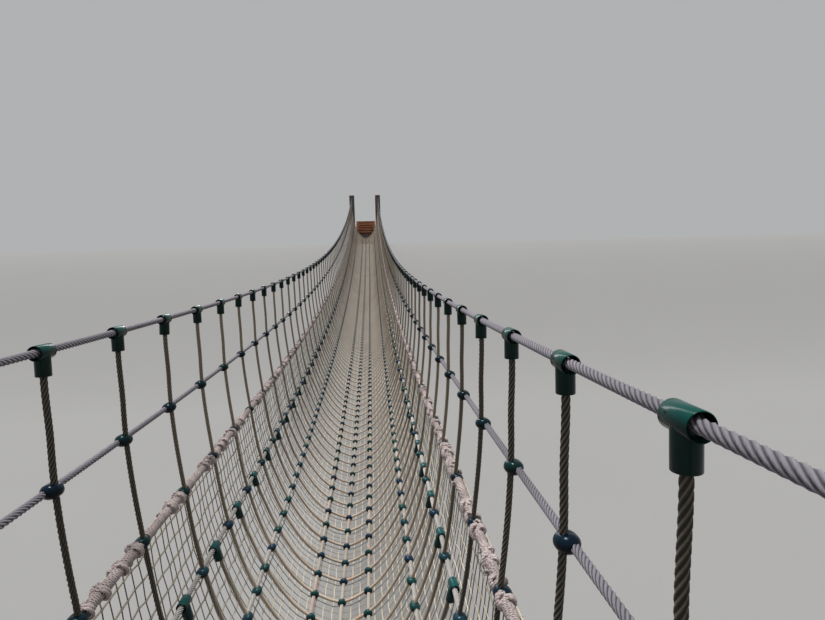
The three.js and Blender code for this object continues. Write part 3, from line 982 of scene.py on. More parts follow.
def joined(*templates):
    """Several templates as one. Faces of equal size are kept together."""
    points, groups, count = [], {}, 0
    for part, faces in templates:
        for group in faces:
            groups.setdefault(np.shape(group)[1], []).append(np.asarray(group) + count)
        points.append(part)
        count += len(part)
    return np.vstack(points), [np.vstack(g) for g in groups.values()]


def tee_template(sides, fine):
    """A T fitting: a sleeve with open mouths along x and a stem down +z, which the hoop goes into."""
    fitting = settings().fitting
    half, outer, bore = fitting.sleeve_length / 2, fitting.sleeve_radius, fitting.bore_radius
    reach, stem = fitting.stem_reach, fitting.stem_radius
    throat, root = settings().rope.side_radius, 0.004
    if fine:
        rim, mouth, seat, cup = 0.0008, 0.016, 0.018, 0.006
        sleeve = [(half - seat, throat), (half - mouth, bore), (half, bore), (half, outer - rim),
                  (half - rim / 3, outer - rim / 3), (half - rim, outer)]
        leg = [(root / 2, stem * 0.7), (root, stem), (reach - rim, stem), (reach - rim / 3, stem - rim / 3),
               (reach, stem - rim), (reach, throat * 1.08), (reach - cup, throat)]
    else:
        mouth = 0.012
        sleeve = [(half - mouth, throat), (half, bore), (half, outer)]
        leg = [(root, stem), (reach, stem)]
    profile = [(-x, r) for x, r in sleeve] + sleeve[::-1]
    return joined(lathe(profile, sides, "x", True), lathe(leg, sides if fine else sides - 1, "z"))


def by_distance(shapes, templates, places, turns, tints):
    """Copies the finest template near the photographed spot and plainer ones further off."""
    places, turns = np.array(places), np.array(turns)
    near = closeness(places)
    low = 0.0
    for limit, template in templates:
        chosen = (near >= low) & (near < limit)
        if chosen.any():
            shapes.copies(template, places[chosen], turns[chosen], tints[chosen])
        low = limit


BALL_JITTER = 0.06  # how crooked a ball connector sits


def crossing_axes(section, corner, y, rng, jitter=BALL_JITTER):
    """Local axes at a crossing, as rows: along the long rope, across both ropes, along the hoop."""
    _, tangent, _ = section.at(corner)
    long_way = long_direction(y)
    hoop = np.array([tangent[0], 0.0, tangent[1]])
    hoop -= long_way * (hoop @ long_way)
    hoop += rng.normal(0, jitter, 3)
    hoop /= np.linalg.norm(hoop)
    across = np.cross(hoop, long_way)
    across /= np.linalg.norm(across)
    return np.stack([np.cross(across, hoop), across, hoop])


class FOOTBRIDGE_OT_connectors(bpy.types.Operator):
    """Put a ball connector on every crossing of a hoop and a long rope."""

    bl_idname = "footbridge.connectors"
    bl_label = "Ball connectors"

    def execute(self, context):
        rope, fitting = settings().rope, settings().fitting
        section = Section()
        rng = np.random.default_rng(5)
        finish = plastic_finish("ball_plastic", fitting.teal, fitting.navy)
        # The floor's and sides' balls get paler plastic, partly worn and partly painted light
        lit_worn_plastic = plastic_finish("lit_worn_ball_plastic", fitting.lit_worn_teal, fitting.lit_worn_navy)
        templates = [(reach, ball_template(*fineness)) for reach, *fineness in BALLS]
        rows = {"rails": (MID_RAIL, BORDER), "sides": (TEE_ROPE, LOWER_SIDE), "treads": (TREAD, CENTRE)}
        for name, indices in rows.items():
            places, turns = [], []
            for corner in sorted({corner_of(index, sign) for index in indices for _, sign in SIDES}):
                with_short = rope_index(corner) > TEE_ROPE
                for number in np.arange(0, rope.bays + 0.1, 0.5 if with_short else 1.0):
                    y = hoop_y(number)
                    places.append(lifted(section.at(corner)[0], y)[0])
                    along, across, hoop = crossing_axes(section, corner, y, rng)
                    lies = np.array([hoop, -across, along]) * fitting.floor_ball
                    turns.append(lies if name == "treads" else [along, across, hoop])
            shapes = Shapes()
            by_distance(shapes, templates, places, turns, rng.random(len(places)))
            make_piece(f"ball_connectors_{name}", shapes, finish if name == "rails" else lit_worn_plastic,
                       smooth_angle=0)
        return {"FINISHED"}


TEE_JITTER, TEE_PLAY = 0.012, 0.0006  # how crooked a T fitting sits, and how far below its rope's middle
SCREW_OUT, SCREW_UP = 0.94, 0.34  # a set screw's direction: out of the sleeve's inner side, and up


class FOOTBRIDGE_OT_tees(bpy.types.Operator):
    """Slide the T fittings on the handrails and the tee ropes."""

    bl_idname = "footbridge.tees"
    bl_label = "T fittings"

    def execute(self, context):
        rope, fitting = settings().rope, settings().fitting
        section = Section()
        rng = np.random.default_rng(23)
        finish = plastic_finish("tee_plastic", fitting.green, fitting.sea_green)
        templates = [(reach, tee_template(*fineness)) for reach, *fineness in TEES]
        rows = (("handrail", HANDRAIL, 0.0, rope.bays + 1), ("tee_rope", TEE_ROPE, 0.5, rope.bays))
        for name, index, shift, count in rows:
            places, turns = [], []
            for _, sign in SIDES:
                corner = corner_of(index, sign)
                for number in range(count):
                    y = hoop_y(number + shift)
                    along, _, hoop = crossing_axes(section, corner, y, rng, TEE_JITTER)
                    down = hoop * (1 if hoop[2] < 0 else -1)
                    turns.append(np.stack([along, np.cross(down, along), down]))
                    places.append(long_line(section, corner, np.array([y]))[0] + down * TEE_PLAY)
            shapes = Shapes()
            tints = 0.4 * rng.random(len(places)) + (0.6 if index == TEE_ROPE else 0.0)
            by_distance(shapes, templates, places, turns, tints)
            make_piece(f"t_fittings_{name}", shapes, finish, smooth_angle=35)
            if index == HANDRAIL:
                # Nearly black: dark steel, darkened further as painted shade of the hole the screw sits in
                dark = Finish("screw_steel", base_color=(0.006, 0.007, 0.007), roughness=0.6).material
                screws = self.screws(np.array(places), np.array(turns))
                make_piece("t_screws", screws, dark, smooth_angle=35)
        return {"FINISHED"}

    def screws(self, places, turns):
        """The small set screw in each sleeve's inner side, above the middle and towards its far mouth."""
        fitting = settings().fitting
        size = fitting.screw_radius
        plain = [(-size, size), (size / 8, size)]
        fine = plain + [(size / 8, size * 0.6), (-size / 2, size * 0.5)]
        heads = ((TEES[0][0], lathe(fine, 10)), (math.inf, lathe(plain, 4)))
        shapes = Shapes()
        inward = turns[:, 1] * -np.sign(places[:, 0] * turns[:, 1, 0])[:, None]
        out = inward * SCREW_OUT - turns[:, 2] * SCREW_UP
        spots = places + turns[:, 0] * fitting.screw_place + out * fitting.sleeve_radius
        axes = np.stack([out, turns[:, 0], np.cross(out, turns[:, 0])], axis=1)
        by_distance(shapes, heads, spots, axes, np.zeros(len(spots)))
        return shapes


# Lashings on the net border ropes

CORD_LAY = 0.02  # along a thin cord for one whole turn


def coil(centres, radius, turns_at, phase=0.0):
    """A cord's line wound round a line along the bridge; turns_at holds the turns made at each centre."""
    up = np.cross(directions(centres), ACROSS)
    angle = 2 * math.pi * turns_at + phase
    radius = np.broadcast_to(radius, len(centres))[:, None]
    return centres + radius * (np.cos(angle)[:, None] * np.array(ACROSS) + np.sin(angle)[:, None] * up)


def free_tube(shapes, line, radius, sides, **marks):
    """A tube along any line, its rings turned as little as possible from one to the next."""
    tangents = directions(line)
    side = np.cross(tangents[0], (0.31, 0.87, 0.38))
    sides_along = []
    for tangent in tangents:
        side = side - tangent * (side @ tangent)
        side = side / np.linalg.norm(side)
        sides_along.append(side)
    shapes.tube(line, np.array(sides_along), ring_angles(sides), radius, lay=CORD_LAY, **marks)


# Up to these distances every winding, or its lumpy outline, is modelled
LASHING_FINE, LASHING_ROUGH = 2.6, 7.0

# How a knot is made up to a distance: points round a turn, sides of the cord, strands that cross
KNOTS = ((LASHING_FINE, 14, 6, 2), (LASHING_ROUGH, 7, 4, 2), (math.inf, 6, 3, 1))

BAY_THICKNESS = (0.94, 1.07)  # a bay's windings beside the usual ones
WINDING_PITCH, WINDING_POINTS = 2.25, 8  # from turn to turn in cord radii, and points in a turn
LUMP, SLIP, LOOSE = 0.0006, 0.06, 0.0003  # spread of the windings' swelling, of their turns, and of each one
TIE_RADIUS, TIE_RUN, FAR_TIE = 0.0045, 0.0032, 0.0055  # a tie's turn, its length along the rope, a far lump
TIE_ANGLE, TIE_SHIFT = (-1.2, 0.9), 0.004  # where ties sit round the rope, with their spread, and along it
HITCH_PLACE = (0.026, 0.040)  # of a knot beside a connector, from the connector's middle
BRIDGE_REACH, BRIDGE_RISE = (0.060, 0.070), 0.0115  # of the strand that bridges a connector
KNOT_LEAN, KNOT_RUN, KNOT_RISE = 0.0075, 0.008, 0.0016  # of a knot's turns, along the rope and off it
KNOT_TURNS = (1.4, 1.8, 2.3)  # to choose from
KNOT_CHANCE, BRIDGE_CHANCE, EYE_CHANCE = 0.85, 0.5, 0.7
EYE_RADIUS = (0.0062, 0.0085)
THIN_CORD = 0.85  # the cord of ties and eyes beside that of windings and knots


class Lashing:
    """The cord that ties the net to one border rope: windings, ties at its cords, hitches and knots."""

    def __init__(self, section, sign):
        self.section, self.corner = section, corner_of(BORDER, sign)
        self.rng = np.random.default_rng(31 if sign < 0 else 37)
        self.windings, self.knots = Shapes(), Shapes()
        for bay in range(settings().rope.bays):
            self.lash(hoop_y(bay), hoop_y(bay + 1))

    def line(self, y):
        """The border rope's line at each y."""
        return long_line(self.section, self.corner, np.atleast_1d(y))

    def lash(self, hoop, next_hoop):
        """Lashes one bay of the rope."""
        net = settings().net
        self.start, self.end = hoop + net.lashing_gap, next_hoop - net.lashing_gap
        self.near = closeness(self.line([self.start, self.end])).min()
        self.thickness = net.lashing_radius * self.rng.uniform(*BAY_THICKNESS)
        self.wind()
        self.tie()
        self.hitch(hoop)

    def wind(self):
        """Close turns over the bay, or the sleeve they make further off."""
        cord, start, end, rng = settings().net.lashing_cord, self.start, self.end, self.rng
        lumps = rng.normal(0, LUMP, 14)

        def swelling(y):
            return self.thickness + np.interp(y, np.linspace(start, end, len(lumps)), lumps)

        if self.near < LASHING_FINE:
            turns = round((end - start) / (cord * WINDING_PITCH))
            y = np.linspace(start, end, turns * WINDING_POINTS + 1)
            centres = self.line(y)
            slips = np.interp(y, np.linspace(start, end, 30), rng.normal(0, SLIP, 30))
            turned = np.linspace(0, turns, len(y)) + slips
            loose = np.interp(turned, np.arange(turns + 2), np.abs(rng.normal(0, LOOSE, turns + 2)))
            winding = coil(centres, swelling(y) - cord + loose, turned, rng.uniform(0, 6))
            free_tube(self.windings, winding, cord, 6, strands=1.0)
            self.shade_gaps(centres, swelling(y))
            self.windings.tube(centres[::20], ACROSS, ring_angles(8), self.thickness - cord * 1.3,
                               along=y[::20], strands=1.0)
            return
        sides, step, lumpy = (9, 0.011, 0.07) if self.near < LASHING_ROUGH else (6, 0.04, 0.03)
        y = np.linspace(start, end, round((end - start) / step) + 1)
        radii = swelling(y)[:, None] * (1 + lumpy * rng.normal(0, 1, (len(y), sides)))
        self.windings.tube(self.line(y), ACROSS, ring_angles(sides), radii, along=y)

    def shade_gaps(self, centres, outside):
        """Marks how deep each point of the last winding lies under the crowns of its turns, in the stain
        mark, by which the finish paints shade in the gaps.
        """
        turns = self.windings.points[-1].reshape(len(centres), -1, 3)
        depth = outside[:, None] - np.linalg.norm(turns - centres[:, None], axis=2)
        self.windings.marks[-1][:, 1] = (depth / (2 * settings().net.lashing_cord)).ravel()

    def tie(self):
        """A small knot at each of the net's cords."""
        net, rng = settings().net, self.rng
        for y in np.arange(self.start + net.mesh / 2, self.end, net.mesh):
            middle = self.line(y + rng.normal(0, TIE_SHIFT))[0]
            angle = rng.normal(*TIE_ANGLE)
            out = np.array([math.cos(angle) * (1 if self.corner > CENTRE else -1), 0.0, math.sin(angle)])
            spot = middle + out * (self.thickness + 0.001)
            if self.near < LASHING_FINE:
                turn = np.linspace(0, 1.4 + rng.random(), 13)[:, None]
                lean = np.cross(out, ALONG) + rng.normal(0, 0.4, 3)
                ring = out * np.cos(2 * math.pi * turn) + lean * np.sin(2 * math.pi * turn)
                line = spot + TIE_RADIUS * ring + np.array([0, TIE_RUN, 0]) * turn
                free_tube(self.knots, line, net.lashing_cord * THIN_CORD, 5, strands=1.0)
            else:
                self.knots.copies(octahedron(FAR_TIE), spot[None])

    def hitch(self, y):
        """A knot on either side of a connector, others on the bay, and on some a strand that bridges it."""
        rng = self.rng
        self.fineness = next(fineness for reach, *fineness in KNOTS if self.near < reach)
        places = [y + way * rng.uniform(*HITCH_PLACE) for way in (-1, 1) if rng.random() < KNOT_CHANCE]
        places.extend(y + settings().rope.bay * rng.uniform(0.3, 0.7, rng.choice([1, 2])))
        for place in places:
            self.knot(place)
        if rng.random() < BRIDGE_CHANCE:
            t = np.linspace(0, 1, self.fineness[0])
            spine = self.line(y + (t - 0.5) * rng.uniform(*BRIDGE_REACH))
            rise = self.thickness - 0.002 + BRIDGE_RISE * np.sin(math.pi * t)
            turned = rng.uniform(0.18, 0.32) + (t - 0.5) * rng.choice([-0.3, 0.3])
            self.cord(coil(spine, rise, turned), 0.95)

    def knot(self, y):
        """Turns of thicker cord that cross one another, and on most an eye that stands out."""
        rng, (points, _, crossings) = self.rng, self.fineness
        phase, turns = rng.uniform(0, 6), rng.choice(KNOT_TURNS)
        t = np.linspace(0, 1, round(points * turns))
        for crossing in (1, -1)[:crossings]:
            lean = crossing * KNOT_LEAN * np.sin(2 * math.pi * t * turns + phase)
            spine = self.line(y + lean + (t - 0.5) * crossing * KNOT_RUN * turns)
            self.cord(coil(spine, self.thickness + 0.0010 + KNOT_RISE * (1 + crossing), t * turns, phase))
        if crossings == 2 and rng.random() < EYE_CHANCE:
            self.eye(y + rng.choice([-0.01, 0.01]))

    def eye(self, y):
        """A small open loop of the same cord, standing on the windings."""
        rng = self.rng
        angle = rng.uniform(0.5, 2.6)
        out = np.array([math.cos(angle), 0.0, math.sin(angle)])
        over = np.cross(out, ALONG) * math.cos(rng.uniform(0, 3)) + np.array(ALONG)
        over /= np.linalg.norm(over)
        turn = 2 * math.pi * np.linspace(0.02, 0.98, self.fineness[0])[:, None]
        ring = rng.uniform(*EYE_RADIUS) * (out * 0.8 * np.cos(turn) + over * np.sin(turn))
        self.cord(self.line(y)[0] + out * (self.thickness + 0.0025) + ring, THIN_CORD)

    def cord(self, line, share=1.0):
        """A length of the knots' cord; share thins it."""
        free_tube(self.knots, line, settings().net.knot_cord * share, self.fineness[1], strands=1.0)


class FOOTBRIDGE_OT_lashings(bpy.types.Operator):
    """Wind the cord that ties the net to its border ropes, with its knots, hitches and loops."""

    bl_idname = "footbridge.lashings"
    bl_label = "Border lashings"

    def execute(self, context):
        section = Section()
        finish = lashing_finish()
        for side, sign in SIDES:
            lashing = Lashing(section, sign)
            make_piece(f"border_lashing_{side}", lashing.windings, finish, smooth_angle=0)
            make_piece(f"border_knots_{side}", lashing.knots, finish, smooth_angle=0)
        return {"FINISHED"}


def octahedron(size):
    """A small lump for a far knot."""
    ends = np.array([[1, 0, 0], [-1, 0, 0], [0, 1.3, 0], [0, -1.3, 0], [0, 0, 1], [0, 0, -1]]) * size
    corners = [(0, 2, 4), (2, 1, 4), (1, 3, 4), (3, 0, 4), (2, 0, 5), (1, 2, 5), (3, 1, 5), (0, 3, 5)]
    return ends, [np.array(corners)]


# Netting

WANDER = (0.0010, 0.0016, 0.0010)  # how far a knot strays: along the section, the bridge, and out
EDGE_WANDER = 0.3  # of that at the border ropes
FOUR_SIDED, THREE_SIDED = 1.05, 1.15  # a cord drawn with so few sides beside a round one
NET_FINE = 3.6  # up to this distance every knot is modelled
LONG_STEP, CROSS_STEP = 5, 3  # further off, from knot to knot along a cord


class Net:
    """A grid of knots on the net's surface, with slack between the hoops and a little wander."""

    def __init__(self, section):
        net, rope = settings().net, settings().rope
        a, b = section.places[BORDER], section.places[2 * CENTRE - BORDER]
        inward = section.inward[a:b + 1]
        flat = section.points[a:b + 1] - inward * net.outside
        reach = arc_lengths(flat)
        wall, whole = reach[section.places[LOWER_SIDE] - a], reach[-1]
        walls = np.linspace(0, wall, round(wall / net.wall_mesh), endpoint=False)
        floor = np.linspace(wall, whole - wall, round((whole - 2 * wall) / net.mesh) + 1)
        s = np.concatenate([walls, floor, whole - walls[::-1]])
        self.across = len(s)
        start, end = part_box("net_panel_1")[0].y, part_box("net_panel_12")[1].y
        self.rows = round((end - start) / net.mesh) + 1
        level = np.linspace(start, end, self.rows)
        at = np.stack([np.interp(s, reach, flat[:, k]) for k in range(2)], axis=1)
        self.out = -np.stack([np.interp(s, reach, inward[:, k]) for k in range(2)], axis=1)
        rng = np.random.default_rng(41)
        wander = rng.normal(0, 1, (self.rows, self.across, 3)) * np.array(WANDER)
        wander[..., 0] += net.zigzag * (-1.0) ** np.arange(self.rows)[:, None]
        wander[:, [0, -1]] *= EDGE_WANDER
        phase = (level - hoop_y(0)) / (rope.bay / 2)
        slack = net.slack * np.sin(math.pi * phase) ** 2
        edge = np.sin(math.pi * np.linspace(0, 1, self.across)) ** 0.5
        depth = slack[:, None] * edge[None, :] + wander[..., 2]
        along = np.stack([-self.out[:, 1], self.out[:, 0]], axis=1)
        plane = at[None] + self.out[None] * depth[..., None] + along[None] * wander[..., :1]
        y = level[:, None] + wander[..., 1]
        self.knots = np.stack([plane[..., 0], y, plane[..., 1] + handrail_z(y)], axis=2)


class FOOTBRIDGE_OT_netting(bpy.types.Operator):
    """Knot the square net that hangs outside the hoops."""

    bl_idname = "footbridge.netting"
    bl_label = "Netting"

    def execute(self, context):
        sizes = settings().net
        net = Net(Section())
        panels = [name for name in frame["nodes"] if name.startswith("net_panel_")]
        brighter = cord_finish("net_cord", sizes.colour, times(0.75, sizes.colour))
        dark = cord_finish("net_cross_cord", sizes.cross_colour, times(0.7, sizes.cross_colour))
        near = closeness(net.knots.reshape(-1, 3)).reshape(net.rows, net.across) < NET_FINE
        middle, half = net.across // 2, net.rows // 2
        for name, columns in (("left", range(middle)), ("right", range(middle, net.across))):
            shapes = Shapes()
            for column in columns:
                self.lengthwise(shapes, net, column, near[:, column])
            make_piece(f"net_cords_{name}", shapes, brighter, panels, 0)
        for name, rows in (("first", range(half)), ("second", range(half, net.rows))):
            shapes = Shapes()
            for row in rows:
                self.crosswise(shapes, net, row, near[row].any())
            make_piece(f"net_cross_cords_{name}_half", shapes, dark, panels, 0)
        knots = Shapes()
        knots.copies(octahedron(sizes.cord_radius * 1.75), net.knots[near])
        make_piece("net_knots", knots, brighter, smooth_angle=0)
        return {"FINISHED"}

    def lengthwise(self, shapes, net, column, near):
        """One cord along the bridge: every knot in the photographed stretch, longer steps elsewhere."""
        first = np.argmax(near) if near.any() else net.rows
        last = net.rows - np.argmax(near[::-1]) if near.any() else net.rows
        chosen = sorted({*range(0, first, LONG_STEP), *range(first, last),
                         *range(last, net.rows, LONG_STEP), net.rows - 1})
        line = net.knots[chosen, column]
        side = np.cross((net.out[column][0], 0.0, net.out[column][1]), directions(line))
        side /= np.linalg.norm(side, axis=1)[:, None]
        shapes.tube(line, side, ring_angles(4) + 0.4, settings().net.cord_radius * FOUR_SIDED, lay=CORD_LAY)

    def crosswise(self, shapes, net, row, near):
        """One cord across the bridge, from border rope to border rope."""
        chosen = sorted({*range(0, net.across, 1 if near else CROSS_STEP), net.across - 1})
        radius = settings().net.cross_radius * THREE_SIDED
        shapes.tube(net.knots[row, chosen], ALONG, ring_angles(3) + math.pi / 2, radius, lay=CORD_LAY)


# Gateways

def bevel(shape, width, segments, profile=0.6, **more):
    """Rounds all edges of a bmesh."""
    bmesh.ops.bevel(shape, geom=shape.edges[:], offset=width, segments=segments, affect="EDGES",
                    profile=profile, **more)


def bevelled_copy(node, finish, width, segments=3):
    """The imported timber's own shape with worn edges."""
    mesh = frame["nodes"][node].data.copy()
    mesh.name = f"{node}_timber"
    shape = bmesh.new()
    shape.from_mesh(mesh)
    bmesh.ops.remove_doubles(shape, verts=shape.verts, dist=1e-5)
    bmesh.ops.dissolve_limit(shape, angle_limit=math.radians(1), verts=shape.verts, edges=shape.edges)
    bevel(shape, width, segments, clamp_overlap=True)
    shape.to_mesh(mesh)
    shape.free()
    make_piece(mesh.name, mesh, finish, [node])


BOARD_TWIST, RISER_BEVEL = 0.0012, 0.001


def rounded_board(shapes, low, high, width, rng):
    """A board between two corners with worn edges and a little twist."""
    shape = bmesh.new()
    bmesh.ops.create_cube(shape, size=1.0)
    low, high = np.array(low), np.array(high)
    for vertex in shape.verts:
        vertex.co = Vector((np.array(vertex.co) * (high - low)) + (low + high) / 2)
    bevel(shape, width, 3, 0.65)
    points = np.array([v.co for v in shape.verts])
    points[:, 2] -= BOARD_TWIST * rng.random() * (points[:, 0] - low[0]) / (high[0] - low[0])
    shapes.add_solid(shape, points)


class FOOTBRIDGE_OT_gateways(bpy.types.Operator):
    """Build the posts, sills and open steps at both ends."""

    bl_idname = "footbridge.gateways"
    bl_label = "Timber gateways"

    def execute(self, context):
        timber = settings().timber
        dark, brown = (timber.post_colour, timber.post_worn), (timber.step_colour, timber.step_worn)
        posts = timber_finish("post_timber_grain", "z", *dark, 0.9)
        sills = timber_finish("sill_timber_grain", "x", *dark, 0.9)
        boards = timber_finish("tread_board_grain", "x", *brown)
        strings = timber_finish("stringer_grain", "y", *brown)
        # Nearly black risers: painted shade behind the nosings
        shaded_risers = timber_finish("shaded_riser_grain", "x", timber.shaded_riser_colour, times(1.8, timber.shaded_riser_colour))
        rng = np.random.default_rng(7)
        for end in ENDS:
            for side, _ in SIDES:
                bevelled_copy(f"{end}_post_{side}", posts, timber.bevel)
                bevelled_copy(f"{end}_stringer_{side}", strings, timber.board_bevel / 2, 2)
            bevelled_copy(f"{end}_sill", sills, timber.bevel)
            bevelled_copy(f"{end}_bearer", boards, timber.bevel)
            for step in range(1, 6):
                node = f"{end}_tread_{step}"
                low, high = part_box(node)
                middle, gap = (low.y + high.y) / 2, timber.board_gap / 2
                shapes = Shapes()
                for y0, y1 in ((low.y, middle - gap), (middle + gap, high.y)):
                    rounded_board(shapes, (low.x, y0, low.z), (high.x, y1, high.z), timber.board_bevel, rng)
                make_piece(f"{node}_boards", shapes, boards, [node])
                self.riser(end, step, low, high, shaded_risers, rng)
        return {"FINISHED"}

    def riser(self, end, step, low, high, finish, rng):
        """The board that closes the gap under a nosing, nearly black as painted shade."""
        timber = settings().timber
        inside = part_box(f"{end}_stringer_left")[1].x
        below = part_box(f"{end}_tread_{step - 1}" if step > 1 else f"{end}_sill")[1].z
        way = -1 if end == "near" else 1
        face = (high.y if end == "near" else low.y) + way * timber.board_bevel * 5
        y0, y1 = sorted((face, face + way * timber.riser))
        shapes = Shapes()
        rounded_board(shapes, (inside, y0, below), (-inside, y1, low.z), RISER_BEVEL, rng)
        make_piece(f"{end}_riser_{step}", shapes, finish)


# Steel anchors

PLATE_THICKNESS = 0.01
PLATE_NECK = 0.32  # from the centre line to the plate's inner edge above its toe
PLATE_TOE = 0.08  # height of the toe under the rope sockets
PLATE_BEVEL = 0.0015
BOLT_OUTER = 0.022  # from the plate's outer edge
BOLT_INNER = 0.342  # from the centre line
BOLT_TOP, BOLT_MIDDLE, BOLT_FOOT = 0.03, 0.05, 0.12  # below the top, above the middle, above the bottom
SILL_BOLTS_LOW, SILL_BOLTS_HIGH = 0.115, 0.055  # from the centre line
SILL_BOLTS_EDGE = 0.02  # from the sill plate's edges


def bolt_template():
    """A hexagon head on a washer, pointing along +x."""
    washer = lathe([(-0.004, 0.014), (0.002, 0.014), (0.0028, 0.0132)], 18)
    head = lathe([(0.0, 0.0105), (0.0095, 0.0105), (0.0115, 0.0088)], 6)
    return joined(washer, head)


def socket_template(reach):
    """A rope socket with a flange, a waist and a rolled lip, along +x from the plate."""
    flange = [(-0.004, 0.0148), (0.004, 0.0148), (0.006, 0.0132)]
    lip = [(-0.012, 0.0118), (-0.008, 0.0132), (-0.002, 0.0132), (0, 0.0118), (0, 0.0068), (-0.006, 0.0064)]
    return lathe(flange + [(reach + x, radius) for x, radius in lip], 20)


class FOOTBRIDGE_OT_anchors(bpy.types.Operator):
    """Bolt the anchor plates to the timber, with a socket for every rope."""

    bl_idname = "footbridge.anchors"
    bl_label = "Steel anchors"

    def execute(self, context):
        finish = steel_finish()
        right = half_section()
        for end, inward, rope_y in (("near", 1.0, ROPE_START_Y), ("far", -1.0, ROPE_END_Y)):
            top = handrail_z(rope_y)
            for side, sign in SIDES:
                node = f"{end}_anchor_plate_{side}"
                low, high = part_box(node)
                toe, outside = sorted((abs(low.x), abs(high.x)))
                outline = [(toe, low.z), (outside, low.z), (outside, high.z), (PLATE_NECK, high.z),
                           (PLATE_NECK, low.z + PLATE_TOE), (toe, low.z + PLATE_TOE)]
                heights = (high.z - BOLT_TOP, (low.z + high.z) / 2 + BOLT_MIDDLE, low.z + BOLT_FOOT)
                bolts = [(outside - BOLT_OUTER, z) for z in heights] + [(BOLT_INNER, z) for z in heights[:2]]
                holds = [(out, top - down) for out, down in right[HANDRAIL:TREAD]]
                rows = ([(sign * x, z) for x, z in row] for row in (outline, holds, bolts))
                self.plate(node, *rows, rope_y, inward, finish)
            node = f"{end}_anchor_plate_sill"
            low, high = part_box(node)
            outline = [(low.x, low.z), (high.x, low.z), (high.x, high.z), (low.x, high.z)]
            rows = ((SILL_BOLTS_LOW, low.z + SILL_BOLTS_EDGE), (SILL_BOLTS_HIGH, high.z - SILL_BOLTS_EDGE))
            bolts = [(way * x, z) for x, z in rows for way in (-1, 1)]
            out, down = right[TREAD]
            holds = [(-out, top - down), (out, top - down), (0.0, top - right[CENTRE][1])]
            self.plate(node, outline, holds, bolts, rope_y, inward, finish)
        return {"FINISHED"}

    def plate(self, node, outline, holds, bolts, rope_y, inward, finish):
        """The plate with bevelled edges, its sockets and its bolts."""
        low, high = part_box(node)
        wall = low.y if inward > 0 else high.y
        face_y = wall + inward * PLATE_THICKNESS
        shape = bmesh.new()
        back, front = ([shape.verts.new((x, y, z)) for x, z in outline] for y in (wall, face_y))
        shape.faces.new(back)
        shape.faces.new(front)
        for k in range(len(outline)):
            shape.faces.new((back[k - 1], back[k], front[k], front[k - 1]))
        bmesh.ops.recalc_face_normals(shape, faces=shape.faces[:])
        bevel(shape, PLATE_BEVEL, 2)
        shapes = Shapes()
        shapes.add_solid(shape)
        turn = np.array([[0, inward, 0], [-inward, 0, 0], [0, 0, 1]], float)
        for template, spots in ((socket_template(abs(rope_y - face_y)), holds), (bolt_template(), bolts)):
            shapes.copies(template, np.array([(x, face_y, z) for x, z in spots]), turn)
        make_piece(f"{node}_steel", shapes, finish, [node], 30)


# Studio

FLOOR_REACH = (60.0, 400.0)  # the floor's outer lines, from the bridge's middle
SURROUND, SURROUND_STRENGTH = (0.97, 0.99, 1.0, 1.0), 0.45
KEY_STRENGTH, KEY_SPREAD, KEY_COLOUR, KEY_WAY = 3.6, math.radians(18), (1.0, 0.98, 0.95), (-0.12, 0.10, 1.0)
BOX_SIZE, BOX_POWER, BOX_AWAY = (5.0, 70.0), 6500.0, (-8.0, 42.0, 36.0)  # from the middle of the bridge


